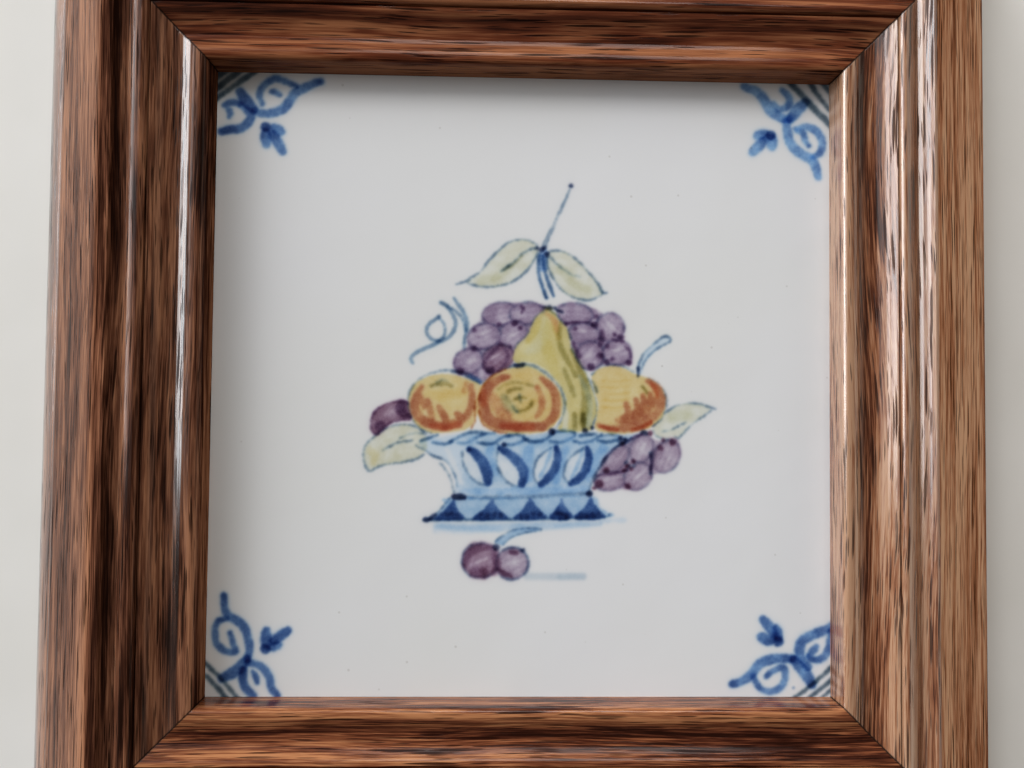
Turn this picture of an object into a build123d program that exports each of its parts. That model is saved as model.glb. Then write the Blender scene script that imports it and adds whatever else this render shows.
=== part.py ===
"""Framed Delft wall tile, lying on its back.

One fired tile sits face up in a frame of four mitred lengths of oak moulding. The tile's edge is
hidden by the frame's lip, a thin board closes the rebate behind it, and small brads driven into
the rebate wall hold the board. Sizes are in mm. The origin is under the middle of the frame, on
the back of the rails. +Z is out of the picture and +Y is its top.
"""
from build123d import *
import os

# The tile
tile_side = 130.0  # a Dutch wall tile of five old inches
tile_thickness = 7.5
tile_edge_bevel = 0.6  # the glaze rounds the face's arris
tile_back_draft = 1.2  # the side walls are trimmed inwards so that neighbours meet at the face
sight_opening = 121.0  # what the lip leaves open, from rail to rail
tile_clearance = 0.5  # play between tile and rebate wall

# The moulding, from the sight line outwards, heights above the tile's face
wall_lean = 0.3  # the inner wall leans back by this much
wall_rise = 5.3
bead_width = 2.7  # the rounded lip, from the wall to the scoop
bead_round = 0.85  # how wide the turn from the wall onto the bead is
bead_rise = 6.45
bead_shoulder = 0.25  # how far the bead falls by its outer side
scoop_fall_width = 2.0  # from the bead down to the scoop's floor
scoop_floor_rise = 5.45
scoop_climb_width = 4.0  # from the floor up to the brow
brow_rise = 7.2
brow_width = 1.3  # where the scoop's outer side rounds over
brow_end_rise = 7.8
quirk_width = 0.35  # the fine groove beside the roll
quirk_depth = 0.6
roll_face_width = 0.95  # the roll's steep inner side
roll_foot_rise = 7.7
roll_rise = 8.8
roll_back_width = 2.8  # the roll's long outer side
flute_foot_rise = 7.45
flute_width = 2.6  # the narrow flute that climbs to the arris
arris_rise = 8.75
arris_width = 0.45
arris_fall = 0.15
slope_width = 14.1
slope_crown = 0.25
outer_edge_round = 3.65
outer_edge_height = 5.4  # the rail's outer side, from its back

# The back
board_thickness = 3.0
board_clearance = 0.6
board_recess = 1.9  # the board's back lies this far inside the rails' back
brad_diameter = 1.2
brad_length = 13.0
brad_driven = 7.0  # the length that is in the rail
brads_per_rail = 2
brad_spacing = 70.0

# What follows from those values
sight_half = sight_opening / 2
rebate_half = tile_side / 2 + tile_clearance
face_level = board_recess + board_thickness + tile_thickness
board_side = 2 * (rebate_half - board_clearance)
rail_width = (wall_lean + bead_width + scoop_fall_width + scoop_climb_width + brow_width
              + quirk_width + roll_face_width + roll_back_width + flute_width + arris_width
              + slope_width + outer_edge_round)
frame_half = sight_half + rail_width


def moulding_section():
    """The rail's section as a face in the (u, z) plane: u runs outwards from the sight line."""
    bead_turn = wall_lean + bead_round
    bead_end = wall_lean + bead_width
    scoop_floor = bead_end + scoop_fall_width
    brow = scoop_floor + scoop_climb_width
    brow_end = brow + brow_width
    quirk_end = brow_end + quirk_width
    roll_top = quirk_end + roll_face_width
    roll_end = roll_top + roll_back_width
    flute_end = roll_end + flute_width
    arris_end = flute_end + arris_width
    slope_end = arris_end + slope_width
    bead_turn_rise = bead_rise - 0.2 * bead_shoulder
    arris_end_rise = arris_rise - arris_fall
    edge_top = outer_edge_height - face_level
    slope_end_rise = edge_top + outer_edge_round
    rebate_wall = rebate_half - sight_half
    with BuildSketch() as section:
        with BuildLine():
            Line((0, 0), (wall_lean, wall_rise))
            ThreePointArc((wall_lean, wall_rise),
                          (wall_lean + 0.3 * bead_round, wall_rise + 0.62 * (bead_rise - wall_rise)),
                          (bead_turn, bead_turn_rise))
            ThreePointArc((bead_turn, bead_turn_rise),
                          ((bead_turn + bead_end) / 2, bead_rise),
                          (bead_end, bead_rise - bead_shoulder))
            ThreePointArc((bead_end, bead_rise - bead_shoulder),
                          (bead_end + 0.4 * scoop_fall_width,
                           scoop_floor_rise + 0.4 * (bead_rise - bead_shoulder - scoop_floor_rise)),
                          (scoop_floor, scoop_floor_rise))
            ThreePointArc((scoop_floor, scoop_floor_rise),
                          (scoop_floor + 0.57 * scoop_climb_width,
                           scoop_floor_rise + 0.32 * (brow_rise - scoop_floor_rise)),
                          (brow, brow_rise))
            ThreePointArc((brow, brow_rise),
                          (brow + 0.46 * brow_width,
                           brow_rise + 0.7 * (brow_end_rise - brow_rise)),
                          (brow_end, brow_end_rise))
            Polyline((brow_end, brow_end_rise),
                     (brow_end + 0.45 * quirk_width, brow_end_rise - quirk_depth),
                     (quirk_end, roll_foot_rise))
            ThreePointArc((quirk_end, roll_foot_rise),
                          (quirk_end + 0.27 * roll_face_width,
                           roll_foot_rise + 0.62 * (roll_rise - roll_foot_rise)),
                          (roll_top, roll_rise))
            ThreePointArc((roll_top, roll_rise),
                          (roll_top + 0.54 * roll_back_width,
                           flute_foot_rise + 0.66 * (roll_rise - flute_foot_rise)),
                          (roll_end, flute_foot_rise))
            ThreePointArc((roll_end, flute_foot_rise),
                          (roll_end + 0.54 * flute_width,
                           flute_foot_rise + 0.39 * (arris_rise - flute_foot_rise)),
                          (flute_end, arris_rise))
            Line((flute_end, arris_rise), (arris_end, arris_end_rise))
            ThreePointArc((arris_end, arris_end_rise),
                          (arris_end + 0.5 * slope_width,
                           0.5 * (arris_end_rise + slope_end_rise) + slope_crown),
                          (slope_end, slope_end_rise))
            ThreePointArc((slope_end, slope_end_rise),
                          (slope_end + 0.57 * outer_edge_round, edge_top + 0.57 * outer_edge_round),
                          (rail_width, edge_top))
            Polyline((rail_width, edge_top),
                     (rail_width, -face_level),
                     (rebate_wall, -face_level),
                     (rebate_wall, 0),
                     (0, 0))
        make_face()
    return section.sketch


def brad_places():
    """Where the brads of one rail stand along it."""
    first = -brad_spacing * (brads_per_rail - 1) / 2
    return [first + n * brad_spacing for n in range(brads_per_rail)]


def brad(place):
    """A headless brad lying on the board's back, driven outwards into the rail at the front."""
    level = board_recess - brad_diameter / 2
    blunt_end = (place, -(rebate_half + brad_driven), level)
    shank = Plane(origin=blunt_end, x_dir=(1, 0, 0), z_dir=(0, 1, 0))
    return extrude(shank * Circle(brad_diameter / 2), brad_length)


def mitred_rail():
    """The rail along the picture's lower edge, with its ends cut to meet its neighbours."""
    across = Plane(origin=(frame_half, -sight_half, face_level), x_dir=(0, -1, 0), z_dir=(-1, 0, 0))
    length = extrude(across * moulding_section(), 2 * frame_half)
    reach = frame_half * 1.05
    quarter = Polygon((0, 0), (-reach, -reach), (reach, -reach), align=None)
    rail = length & extrude(quarter, face_level + roll_rise + 5)
    for place in brad_places():
        rail -= brad(place)
    return rail


def wall_tile():
    """The fired tile, square at its face and trimmed inwards towards its back."""
    with BuildPart() as body:
        with BuildSketch(Plane.XY.offset(face_level)):
            Rectangle(tile_side, tile_side)
        with BuildSketch(Plane.XY.offset(face_level - tile_thickness)):
            Rectangle(tile_side - tile_back_draft, tile_side - tile_back_draft)
        loft(ruled=True)
        face_edges = body.edges().group_by(Axis.Z)[-1]
        chamfer(face_edges, tile_edge_bevel)
    return body.part


def backing_board():
    """The thin board that lies behind the tile in the rebate."""
    board = Box(board_side, board_side, board_thickness,
                align=(Align.CENTER, Align.CENTER, Align.MIN))
    return Pos(0, 0, board_recess) * board


pieces = {"tile": wall_tile(), "backing_board": backing_board()}
sides = {"bottom": 0, "right": 90, "top": 180, "left": 270}
for side, turn in sides.items():
    pieces[f"rail_{side}"] = Rot(0, 0, turn) * mitred_rail()
    for number, place in enumerate(brad_places(), 1):
        pieces[f"brad_{side}_{number}"] = Rot(0, 0, turn) * brad(place)

os.makedirs("parts", exist_ok=True)
for name, piece in pieces.items():
    piece.label = name
    export_step(piece, f"parts/{name}.step")
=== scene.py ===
"""Looks of the framed Delft tile: stained oak rails, a painted tin-glazed tile, floor, light and camera.

Everything is in metres in the part's own frame: the frame lies on its back, +Z is out of the
picture and +Y is the picture's top.
"""

import math

import bpy
import numpy as np
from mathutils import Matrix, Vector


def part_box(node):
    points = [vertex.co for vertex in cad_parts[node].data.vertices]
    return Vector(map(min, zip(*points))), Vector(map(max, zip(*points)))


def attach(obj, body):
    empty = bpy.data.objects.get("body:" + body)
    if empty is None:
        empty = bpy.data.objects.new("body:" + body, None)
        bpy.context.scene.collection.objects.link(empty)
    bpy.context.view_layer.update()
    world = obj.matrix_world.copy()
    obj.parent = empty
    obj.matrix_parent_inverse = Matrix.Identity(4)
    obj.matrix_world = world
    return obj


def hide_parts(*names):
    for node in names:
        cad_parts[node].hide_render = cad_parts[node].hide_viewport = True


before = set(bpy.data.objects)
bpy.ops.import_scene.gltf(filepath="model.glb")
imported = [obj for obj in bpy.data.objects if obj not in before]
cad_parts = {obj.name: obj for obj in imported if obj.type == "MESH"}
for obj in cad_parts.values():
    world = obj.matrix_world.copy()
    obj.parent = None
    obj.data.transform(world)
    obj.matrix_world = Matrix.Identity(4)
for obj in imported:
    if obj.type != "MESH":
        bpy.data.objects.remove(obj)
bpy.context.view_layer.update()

MM = 0.001
TILE_LOW, TILE_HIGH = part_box("tile")
FACE = TILE_HIGH[2]  # the level of the tile's face
SIGHT_HALF = 60.5  # mm from the middle to the lip's inner edge
RAIL_WIDTH = 35.2  # mm from there to the frame's outer edge

# The camera, fitted to the frame's edges. Its place is in mm from the middle of the tile's face.
PICTURE = (1024, 768)
FOCAL_PIXELS = 900.0
SENSOR_WIDTH = 36.0  # mm
EYE = (-7.64, -6.11, 175.79)
EYE_TURN = (math.radians(1.958), math.radians(-1.757), math.radians(0.555))


class Nodes:
    """A material's node tree, with one short call for each kind of node that is used here."""

    def __init__(self, name):
        self.material = bpy.data.materials.new(name)
        self.material.use_nodes = True
        self.tree = self.material.node_tree
        self.surface = self.tree.nodes["Principled BSDF"]

    def put(self, value, socket):
        """Links another node's output to the socket, or writes a plain value there."""
        if isinstance(value, bpy.types.NodeSocket):
            self.tree.links.new(value, socket)
        else:
            socket.default_value = value

    def node(self, kind, **settings):
        made = self.tree.nodes.new(kind)
        for name, value in settings.items():
            setattr(made, name, value)
        return made

    def math(self, operation, a, b=0.0, c=0.0):
        made = self.node("ShaderNodeMath", operation=operation)
        for value, socket in zip((a, b, c), made.inputs):
            self.put(value, socket)
        return made.outputs[0]

    def step(self, value, low, high):
        """A smooth step from 0 at low to 1 at high, which may run downwards."""
        made = self.node("ShaderNodeMapRange", interpolation_type="SMOOTHSTEP")
        for given, name in ((value, "Value"), (low, "From Min"), (high, "From Max")):
            self.put(given, made.inputs[name])
        return made.outputs["Result"]

    def place(self):
        """The piece's own coordinates in mm, split."""
        scaled = self.node("ShaderNodeVectorMath", operation="SCALE")
        self.put(self.node("ShaderNodeTexCoord").outputs["Object"], scaled.inputs[0])
        scaled.inputs["Scale"].default_value = 1 / MM
        split = self.node("ShaderNodeSeparateXYZ")
        self.put(scaled.outputs[0], split.inputs[0])
        return split.outputs[0], split.outputs[1], split.outputs[2]

    def vector(self, x, y, z):
        made = self.node("ShaderNodeCombineXYZ")
        for value, socket in zip((x, y, z), made.inputs):
            self.put(value, socket)
        return made.outputs[0]

    def noise(self, vector, scale=1.0, detail=2.0, roughness=0.5, distortion=0.0):
        made = self.node("ShaderNodeTexNoise")
        self.put(vector, made.inputs["Vector"])
        for value, name in ((scale, "Scale"), (detail, "Detail"), (roughness, "Roughness"),
                            (distortion, "Distortion")):
            made.inputs[name].default_value = value
        return made.outputs["Fac"]

    def cells(self, vector):
        """The distance to the middle of the nearest random cell, whose breadth is about 1."""
        made = self.node("ShaderNodeTexVoronoi")
        self.put(vector, made.inputs["Vector"])
        made.inputs["Scale"].default_value = 1.0
        return made.outputs["Distance"]

    def ramp(self, value, stops):
        """stops are (place, grey) or (place, (r, g, b))."""
        made = self.node("ShaderNodeValToRGB")
        elements = made.color_ramp.elements
        while len(elements) < len(stops):
            elements.new(0.5)
        for element, (place, colour) in zip(elements, stops):
            element.position = place
            if not isinstance(colour, tuple):
                colour = (colour, colour, colour)
            element.color = (*colour, 1.0)
        self.put(value, made.inputs[0])
        return made.outputs[0]

    def mix(self, share, a, b, blend="MIX"):
        """Colours are sockets 6 and 7 of this node's inputs and 2 of its outputs."""
        made = self.node("ShaderNodeMix", data_type="RGBA", blend_type=blend)
        self.put(share, made.inputs["Factor"])
        for value, socket in zip((a, b), made.inputs[6:8]):
            self.put((*value, 1.0) if isinstance(value, tuple) else value, socket)
        return made.outputs[2]

    def bump(self, height, strength, distance, under=None):
        made = self.node("ShaderNodeBump")
        made.inputs["Strength"].default_value = strength
        made.inputs["Distance"].default_value = distance
        self.put(height, made.inputs["Height"])
        if under is not None:
            self.put(under, made.inputs["Normal"])
        return made.outputs[0]

    def set(self, **sockets):
        for name, value in sockets.items():
            socket = self.surface.inputs[name.replace("_", " ")]
            if isinstance(value, tuple) and len(value) == 3:
                value = (*value, 1.0)
            self.put(value, socket)


def linear(red, green, blue):
    """A screen colour of 0 to 255 as a shader's colour, by the sRGB curve."""
    return tuple((v / 255 / 12.92) if v < 10.3 else ((v / 255 + 0.055) / 1.055) ** 2.4
                 for v in (red, green, blue))


GLAZE_ON_SCREEN = (203, 204, 203)
GLAZE = linear(*GLAZE_ON_SCREEN)
FACE_HALF = 64.4  # mm, the flat part of the tile's face
ROOT_CELLS = 20  # large mesh cells along the face
FINEST = 32  # the finest cells along a large one
GRID = ROOT_CELLS * FINEST
GRID_STEP = 2 * FACE_HALF / GRID  # mm
SPACING = 0.7  # pixels between a line's samples


def turn_matrix(turn):
    """The camera's own axes in the part's frame, as columns, from its Euler angles."""
    (sx, sy, sz), (cx, cy, cz) = np.sin(turn), np.cos(turn)
    about_x = np.array([(1, 0, 0), (0, cx, -sx), (0, sx, cx)])
    about_y = np.array([(cy, 0, sy), (0, 1, 0), (-sy, 0, cy)])
    about_z = np.array([(cz, -sz, 0), (sz, cz, 0), (0, 0, 1)])
    return about_z @ about_y @ about_x


CAMERA_AXES = turn_matrix(EYE_TURN)


def photo_place(x, y):
    """Where points of the tile's face, in mm from its middle, are in the photograph's pixels."""
    seen = np.stack([x - EYE[0], y - EYE[1], np.full(np.shape(x), -EYE[2])], -1) @ CAMERA_AXES
    return (PICTURE[0] / 2 - FOCAL_PIXELS * seen[..., 0] / seen[..., 2],
            PICTURE[1] / 2 + FOCAL_PIXELS * seen[..., 1] / seen[..., 2])


def face_place(u, v):
    """Where pixels of the photograph are on the tile's face, in mm from its middle."""
    ray = np.stack([u - PICTURE[0] / 2, PICTURE[1] / 2 - v, np.full(np.shape(u), -FOCAL_PIXELS)],
                   -1) @ CAMERA_AXES.T
    reach = -EYE[2] / ray[..., 2]
    return EYE[0] + ray[..., 0] * reach, EYE[1] + ray[..., 1] * reach


def smooth_noise(rng, count, blotch):
    """Noise of -0.5 to 0.5 on a square grid, with blotches of so many grid steps."""
    coarse = rng.random((int(count / blotch) + 3,) * 2) - 0.5
    at = np.arange(count) / blotch
    low = at.astype(int)
    t = at - low
    t = t * t * (3 - 2 * t)
    rows = coarse[low] * (1 - t)[:, None] + coarse[low + 1] * t[:, None]
    return rows[:, low] * (1 - t) + rows[:, low + 1] * t


def spline(points, closed=False):
    """A smooth line through points, finely sampled. A point is x, y and at times extra tone."""
    full = np.array([(*p, 0.0) if len(p) == 2 else p for p in points], float)
    if closed:
        ring = np.concatenate([full[-1:], full, full[:2]])
    else:
        ring = np.concatenate([2 * full[:1] - full[1:2], full, 2 * full[-1:] - full[-2:-1]])
        ring[0, 2], ring[-1, 2] = full[0, 2], full[-1, 2]
    made = []
    for a, b, c, d in zip(ring, ring[1:], ring[2:], ring[3:]):
        steps = max(1, math.ceil(math.dist(b[:2], c[:2]) / SPACING))
        t = (np.arange(steps) / steps)[:, None]
        made.append(0.5 * (2 * b + (c - a) * t + (2 * a - 5 * b + 4 * c - d) * t ** 2
                           + (3 * b - a - 3 * c + d) * t ** 3))
    if not closed:
        made.append(full[-1:])
    return np.concatenate(made)


def blurred(field, spread):
    """A field blurred along both its sides by a bell curve, so many grid steps wide."""
    reach = math.ceil(3 * spread)
    bell = np.exp(-0.5 * (np.arange(-reach, reach + 1) / spread) ** 2)
    bell /= bell.sum()
    for axis in (0, 1):
        field = sum(w * np.roll(field, k - reach, axis) for k, w in enumerate(bell))
    return field


class Paint:
    """A pigment: how thin and thick coats of it look on the glaze, kept as ink."""

    def __init__(self, thin, thick):
        self.thin = -np.log(np.array(linear(*thin)) / GLAZE)
        self.thick = -np.log(np.array(linear(*thick)) / GLAZE)


BARE = Paint(GLAZE_ON_SCREEN, GLAZE_ON_SCREEN)
WIPED = dict(cover=1.0, rim=0.0, mottle=0.0)  # settings of a stroke that takes paint away
MARGIN = 3.0  # pixels round a shape that its soft edge may reach
OUTSIDE = -9.0  # a depth that is clear of every edge
RIM_WIDTH = 1.4  # pixels
THICKEST = 1.3  # the most tone that paint piles up to


class Canvas:
    """The tile's face as a grid of ink: how much red, green and blue light the paint takes.

    Strokes are given in the photograph's pixels, as the painting was read from it.
    """

    NOISE_SIZE = 1400
    FINE_BLOTCH = 1.9
    WIDE_BLOTCH = 7.0

    def __init__(self, seed):
        self.ink = np.zeros((GRID + 1, GRID + 1, 3))
        at = np.linspace(-FACE_HALF, FACE_HALF, GRID + 1)
        self.u, self.v = photo_place(*np.meshgrid(at, at))
        self.rng = np.random.default_rng(seed)
        self.fine = smooth_noise(self.rng, self.NOISE_SIZE, self.FINE_BLOTCH)
        self.wide = smooth_noise(self.rng, self.NOISE_SIZE, self.WIDE_BLOTCH)

    def window(self, low, high):
        """The part of the grid that holds a box of pixels, as two slices."""
        x, y = face_place(np.array([low[0], low[0], high[0], high[0]]),
                          np.array([low[1], high[1], low[1], high[1]]))
        left, right = ((side + FACE_HALF) / GRID_STEP for side in (x.min(), x.max()))
        down, up = ((side + FACE_HALF) / GRID_STEP for side in (y.min(), y.max()))
        return (slice(max(0, int(down)), min(GRID + 1, int(up) + 2)),
                slice(max(0, int(left)), min(GRID + 1, int(right) + 2)))

    def lay(self, where, depth, tone, paint, soft=1.2, rough=0.8, rim=0.15, mottle=0.35,
            cover=0.0, strength=1.0):
        """Lays paint where depth, the pixels from the stroke's edge inwards, is above zero.

        tone is 0 for the thin coat and 1 for the thick one. soft and rough are the edge's
        softness and raggedness in pixels, rim the extra tone along it and mottle the tone's
        unevenness. cover is how much of what is under it the paint hides.
        """
        rows, columns = depth.shape
        top, left = self.rng.integers(0, self.NOISE_SIZE - GRID - 2, 2)
        fine = self.fine[top:top + rows, left:left + columns]
        wide = self.wide[top:top + rows, left:left + columns]
        depth = depth + rough * (fine + wide)
        share = np.clip(depth / soft + 0.5, 0, 1)
        share = (share * share * (3 - 2 * share) * strength)[..., None]
        tone = tone + rim * np.exp(-np.maximum(depth, 0) / RIM_WIDTH)
        tone = tone + mottle * (0.7 * fine + wide)
        tone = np.clip(tone, 0, THICKEST)[..., None]
        ink = paint.thin + (paint.thick - paint.thin) * tone
        self.ink[where] = self.ink[where] * (1 - cover * share) + ink * share

    def brush(self, paint, width, points, tone, closed=False, **how):
        """One stroke, or a dot where there is one point.

        width is in pixels, or a list of widths spread along the stroke.
        """
        if len(points) == 1:
            x, y = points[0]
            points = [(x, y), (x + 0.4, y)]
        line = spline(points, closed)
        widths = np.atleast_1d(width)
        radii = np.interp(np.linspace(0, 1, len(line)), np.linspace(0, 1, len(widths)), widths) / 2
        reach = radii.max() + MARGIN
        where = self.window(line[:, :2].min(0) - reach, line[:, :2].max(0) + reach)
        u, v = self.u[where], self.v[where]
        depth = np.full(u.shape, OUTSIDE)
        extra = np.zeros(u.shape)
        for (x, y, more), radius in zip(line, radii):
            near = radius - np.hypot(u - x, v - y)
            closer = near > depth
            depth = np.where(closer, near, depth)
            extra = np.where(closer, more, extra)
        self.lay(where, depth, tone + extra, paint, **how)

    def strokes(self, table):
        """Brushes each row of a table in turn: paint, width, points, tone and any settings."""
        for paint, width, points, tone, *settings in table:
            self.brush(paint, width, points, tone, **dict(*settings))

    def dot(self, paint, x, y, radius, tone, **how):
        self.brush(paint, 2 * radius, [(x, y)], tone, **how)

    def inside(self, points):
        """The window and the depth inside a closed outline."""
        line = spline(points, True)[:, :2]
        where = self.window(line.min(0) - MARGIN, line.max(0) + MARGIN)
        u, v = self.u[where], self.v[where]
        within = np.zeros(u.shape, bool)
        nearest = np.full(u.shape, np.inf)
        for (x0, y0), (x1, y1) in zip(line, np.roll(line, -1, 0)):
            if y0 != y1:
                crossing = ((y0 > v) != (y1 > v)) & (u < x0 + (v - y0) * (x1 - x0) / (y1 - y0))
                within ^= crossing
            along = np.array((x1 - x0, y1 - y0))
            share = ((u - x0) * along[0] + (v - y0) * along[1]) / max(along @ along, 1e-9)
            share = np.clip(share, 0, 1)
            nearest = np.minimum(nearest, np.hypot(u - x0 - share * along[0],
                                                   v - y0 - share * along[1]))
        return where, np.where(within, nearest, -nearest)

    def wash(self, paint, points, tone, shade=None, **how):
        """A filled shape. shade adds to its tone: a function of the pixels' places."""
        where, depth = self.inside(points)
        if shade is not None:
            tone = tone + shade(self.u[where], self.v[where])
        self.lay(where, depth, np.broadcast_to(tone, depth.shape), paint, **how)

    def soak_in(self):
        """The fired glaze spreads each line a little, with a faint halo around it."""
        spread, halo_spread, halo_share = 0.95, 3.2, 0.12
        near = blurred(self.ink, spread)
        self.ink = (1 - halo_share) * near + halo_share * blurred(near, halo_spread)


# Each paint's thin and thick coat on the glaze, as screen colours.
COBALT = Paint((146, 174, 203), (32, 58, 106))
SLATE = Paint((170, 184, 192), (76, 96, 118))
PALE_BLUE = Paint((180, 193, 203), (120, 154, 184))
NIGHT = Paint((112, 122, 144), (18, 24, 46))
PURPLE = Paint((172, 165, 178), (86, 66, 94))
ROSE = Paint((176, 170, 180), (100, 80, 104))
WINE = Paint((156, 140, 158), (72, 42, 60))
CREAM = Paint((196, 198, 190), (182, 182, 162))
YELLOW = Paint((198, 190, 156), (180, 152, 88))
PEAR = Paint((198, 194, 158), (172, 158, 98))
ORANGE = Paint((182, 146, 106), (128, 66, 48))
RED = Paint((172, 108, 78), (120, 44, 34))
OLIVE = Paint((168, 168, 138), (92, 92, 66))
CORNER_BLUE = Paint((122, 157, 190), (34, 56, 102))
BAND = Paint((140, 154, 160), (40, 56, 70))
BARE_GAP = Paint((203, 203, 199), (194, 190, 176))

# How a brush is held: settings that many strokes share.
EVEN = dict(mottle=0.6)
DRAWN = dict(mottle=0.7)
DRY = dict(mottle=0.8)
DRIEST = dict(mottle=0.9)
FIRM = dict(soft=2)
SOFT = dict(soft=2.4)
SOFTER = dict(soft=4)
BLUSH = dict(soft=3, cover=0.9, mottle=0.5)
THIN_BLUSH = dict(soft=3, cover=0.85, mottle=0.5)
OVER = dict(soft=4, cover=0.7)

# In the tables a place is in the photograph's pixels, and a third number is extra tone there.
# A row of strokes is paint, width, points, tone and any settings. One point alone is a dot.
# A row of grapes is paint, centre, radii, tilt in degrees and tone, then at times the place of
# its light spot and its outline's tone. A row of dots is x, y, radius and at times tone.

SPRIG_LEFT_LEAF = [
    (466, 281.5), (480, 272), (490, 259.3), (500, 249.3), (510, 242), (520, 239.6), (528.6, 240.6),
    (535.7, 244.3), (538.5, 249), (536, 256.5), (532, 263.5), (526, 271.4), (518, 278.5), (509, 283.3),
    (500, 285.7), (489, 287), (478, 286)]
SPRIG_RIGHT_LEAF = [
    (548.6, 252.5), (555.7, 250.5), (563, 251.5), (571.4, 255.7), (580, 263), (588.6, 272),
    (595.7, 280.7), (600.7, 288.6), (603, 293.5), (598.6, 296.6), (590, 300), (580, 299.2),
    (570, 295.7), (561.4, 289.5), (554.3, 280), (549, 270), (547, 261)]
SPRIG_STROKES = (
    (CREAM, 9, [(482, 281), (496, 277), (508, 268)], 0.6, dict(soft=6, mottle=0.5, strength=0.7)),
    (CREAM, 8, [(560, 268), (574, 284), (588, 290)], 0.6, dict(soft=6, mottle=0.5, strength=0.7)),
    (SLATE, [1.6, 2.4, 2.0, 1.6], [(455.7, 284.3), (463.6, 282.2, 0.4), (470, 280)], 0.45),
    (SLATE, 2.0, [(501.5, 271), (505.7, 268, 0.3), (513, 263), (521.4, 254.6), (530, 249.6),
     (536, 248)], 0.3, dict(mottle=0.9, soft=1.8)),
    (OLIVE, 2.2, [(504, 270), (514, 264), (522, 256)], 0.3, dict(strength=0.5, soft=2)),
    (SLATE, [2.6, 1.6], [(600, 290), (603.5, 293, 0.3), (607, 293, 0.3)], 0.4),
    (SLATE, 2.0, [(550, 257), (557, 264.3), (564.3, 270), (571.4, 274.6), (580, 276.6)], 0.2,
     dict(mottle=0.9, soft=1.8)),
    (SLATE, [1.8, 2.0, 2.6, 3.4, 4.4], [(570.6, 186.5, 0.3), (567, 196), (563, 204.7), (558, 216),
     (551.5, 230), (546.5, 240), (543.6, 248.6)], 0.45, dict(mottle=0.5)),
    (BARE, [0.6, 1.2, 2.2], [(561, 209), (555, 222), (548.5, 236), (545, 244)], 0.0,
     dict(WIPED, strength=0.55, soft=1.6)),
    (COBALT, 8, [(544, 253), (543, 262), (543, 268)], 0.08, dict(soft=3)),
)
SHORT_STEMS = (
    [(539.3, 254), (538, 264.3), (539, 274.3), (542, 285.7), (546.5, 298, 0.35)],
    [(543, 256), (544.3, 268.6), (547, 278.6), (550.7, 288.6), (553.5, 296, 0.35)],
)
SPRIG_KNOTS = (
    (570.9, 185.7, 1.6), (541.5, 250, 2.4), (547, 254.3, 2.4), (537.2, 248.6, 1.9), (544.5, 248, 1.8))


def top_sprig(c):
    """Two leaves, the long stem and the two short ones."""
    for outline in (SPRIG_LEFT_LEAF, SPRIG_RIGHT_LEAF):
        c.wash(CREAM, outline, 0.35, mottle=0.7, soft=2.5, rim=0.0)
        c.brush(SLATE, 1.9, outline, 0.42, closed=True, mottle=0.7)
    c.strokes(SPRIG_STROKES)
    for points in SHORT_STEMS:
        c.brush(SLATE, [2.6, 3.2, 3.0, 2.6], points, 0.5, mottle=0.6)
        c.brush(COBALT, 2.4, points, 0.1, strength=0.7)
    for x, y, radius in SPRIG_KNOTS:
        c.dot(NIGHT, x, y, radius, 0.35, soft=1.8)


CURL = [
    (440.6, 302.4, 0.25), (446.7, 306, 0.35), (451, 311.7), (454.4, 317.8), (455.6, 324.4),
    (453.3, 331), (449, 337), (442, 341), (435.6, 343.6), (427.8, 347.2), (420, 350.4), (413.8, 354.4),
    (411, 359), (412.6, 363)]
CURL_LOOP = [(439, 317, 0.4), (432, 321.6), (427, 328), (427.6, 334.6), (433, 340), (439, 340.6)]
CURL_LOOP_END = [(439, 318), (444, 324), (445, 331), (443, 337.6), (437, 342)]
SECOND_CURL = [
    (454, 298, 0.25), (459, 305.6), (463.3, 312), (466.2, 319), (467, 325.6), (466.4, 331),
    (465, 338, 0.3), (464, 345.6), (464.4, 352)]
CURL_BRANCH = [(447.8, 306.7), (455.6, 311), (461, 316.7), (464.4, 323.3), (466, 331)]
# Each of its lines with the width or widths.
TENDRIL = (
    (CURL, [2.6, 3.4, 3.2, 3.4, 2.8]),
    (CURL_LOOP, [3.0, 2.2]),
    (CURL_LOOP_END, 2.2),
    (SECOND_CURL, [2.4, 3.4, 3.6, 2.6, 2.0]),
    (CURL_BRANCH, [1.6, 2.4, 2.6]),
)


def tendril(c):
    """The curling tendril at the upper left."""
    for points, width in TENDRIL:
        c.brush(SLATE, width, points, 0.3, mottle=0.5, soft=2)
        c.brush(PALE_BLUE, width, points, 0.3, mottle=0.4, strength=0.5, soft=2)


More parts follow.
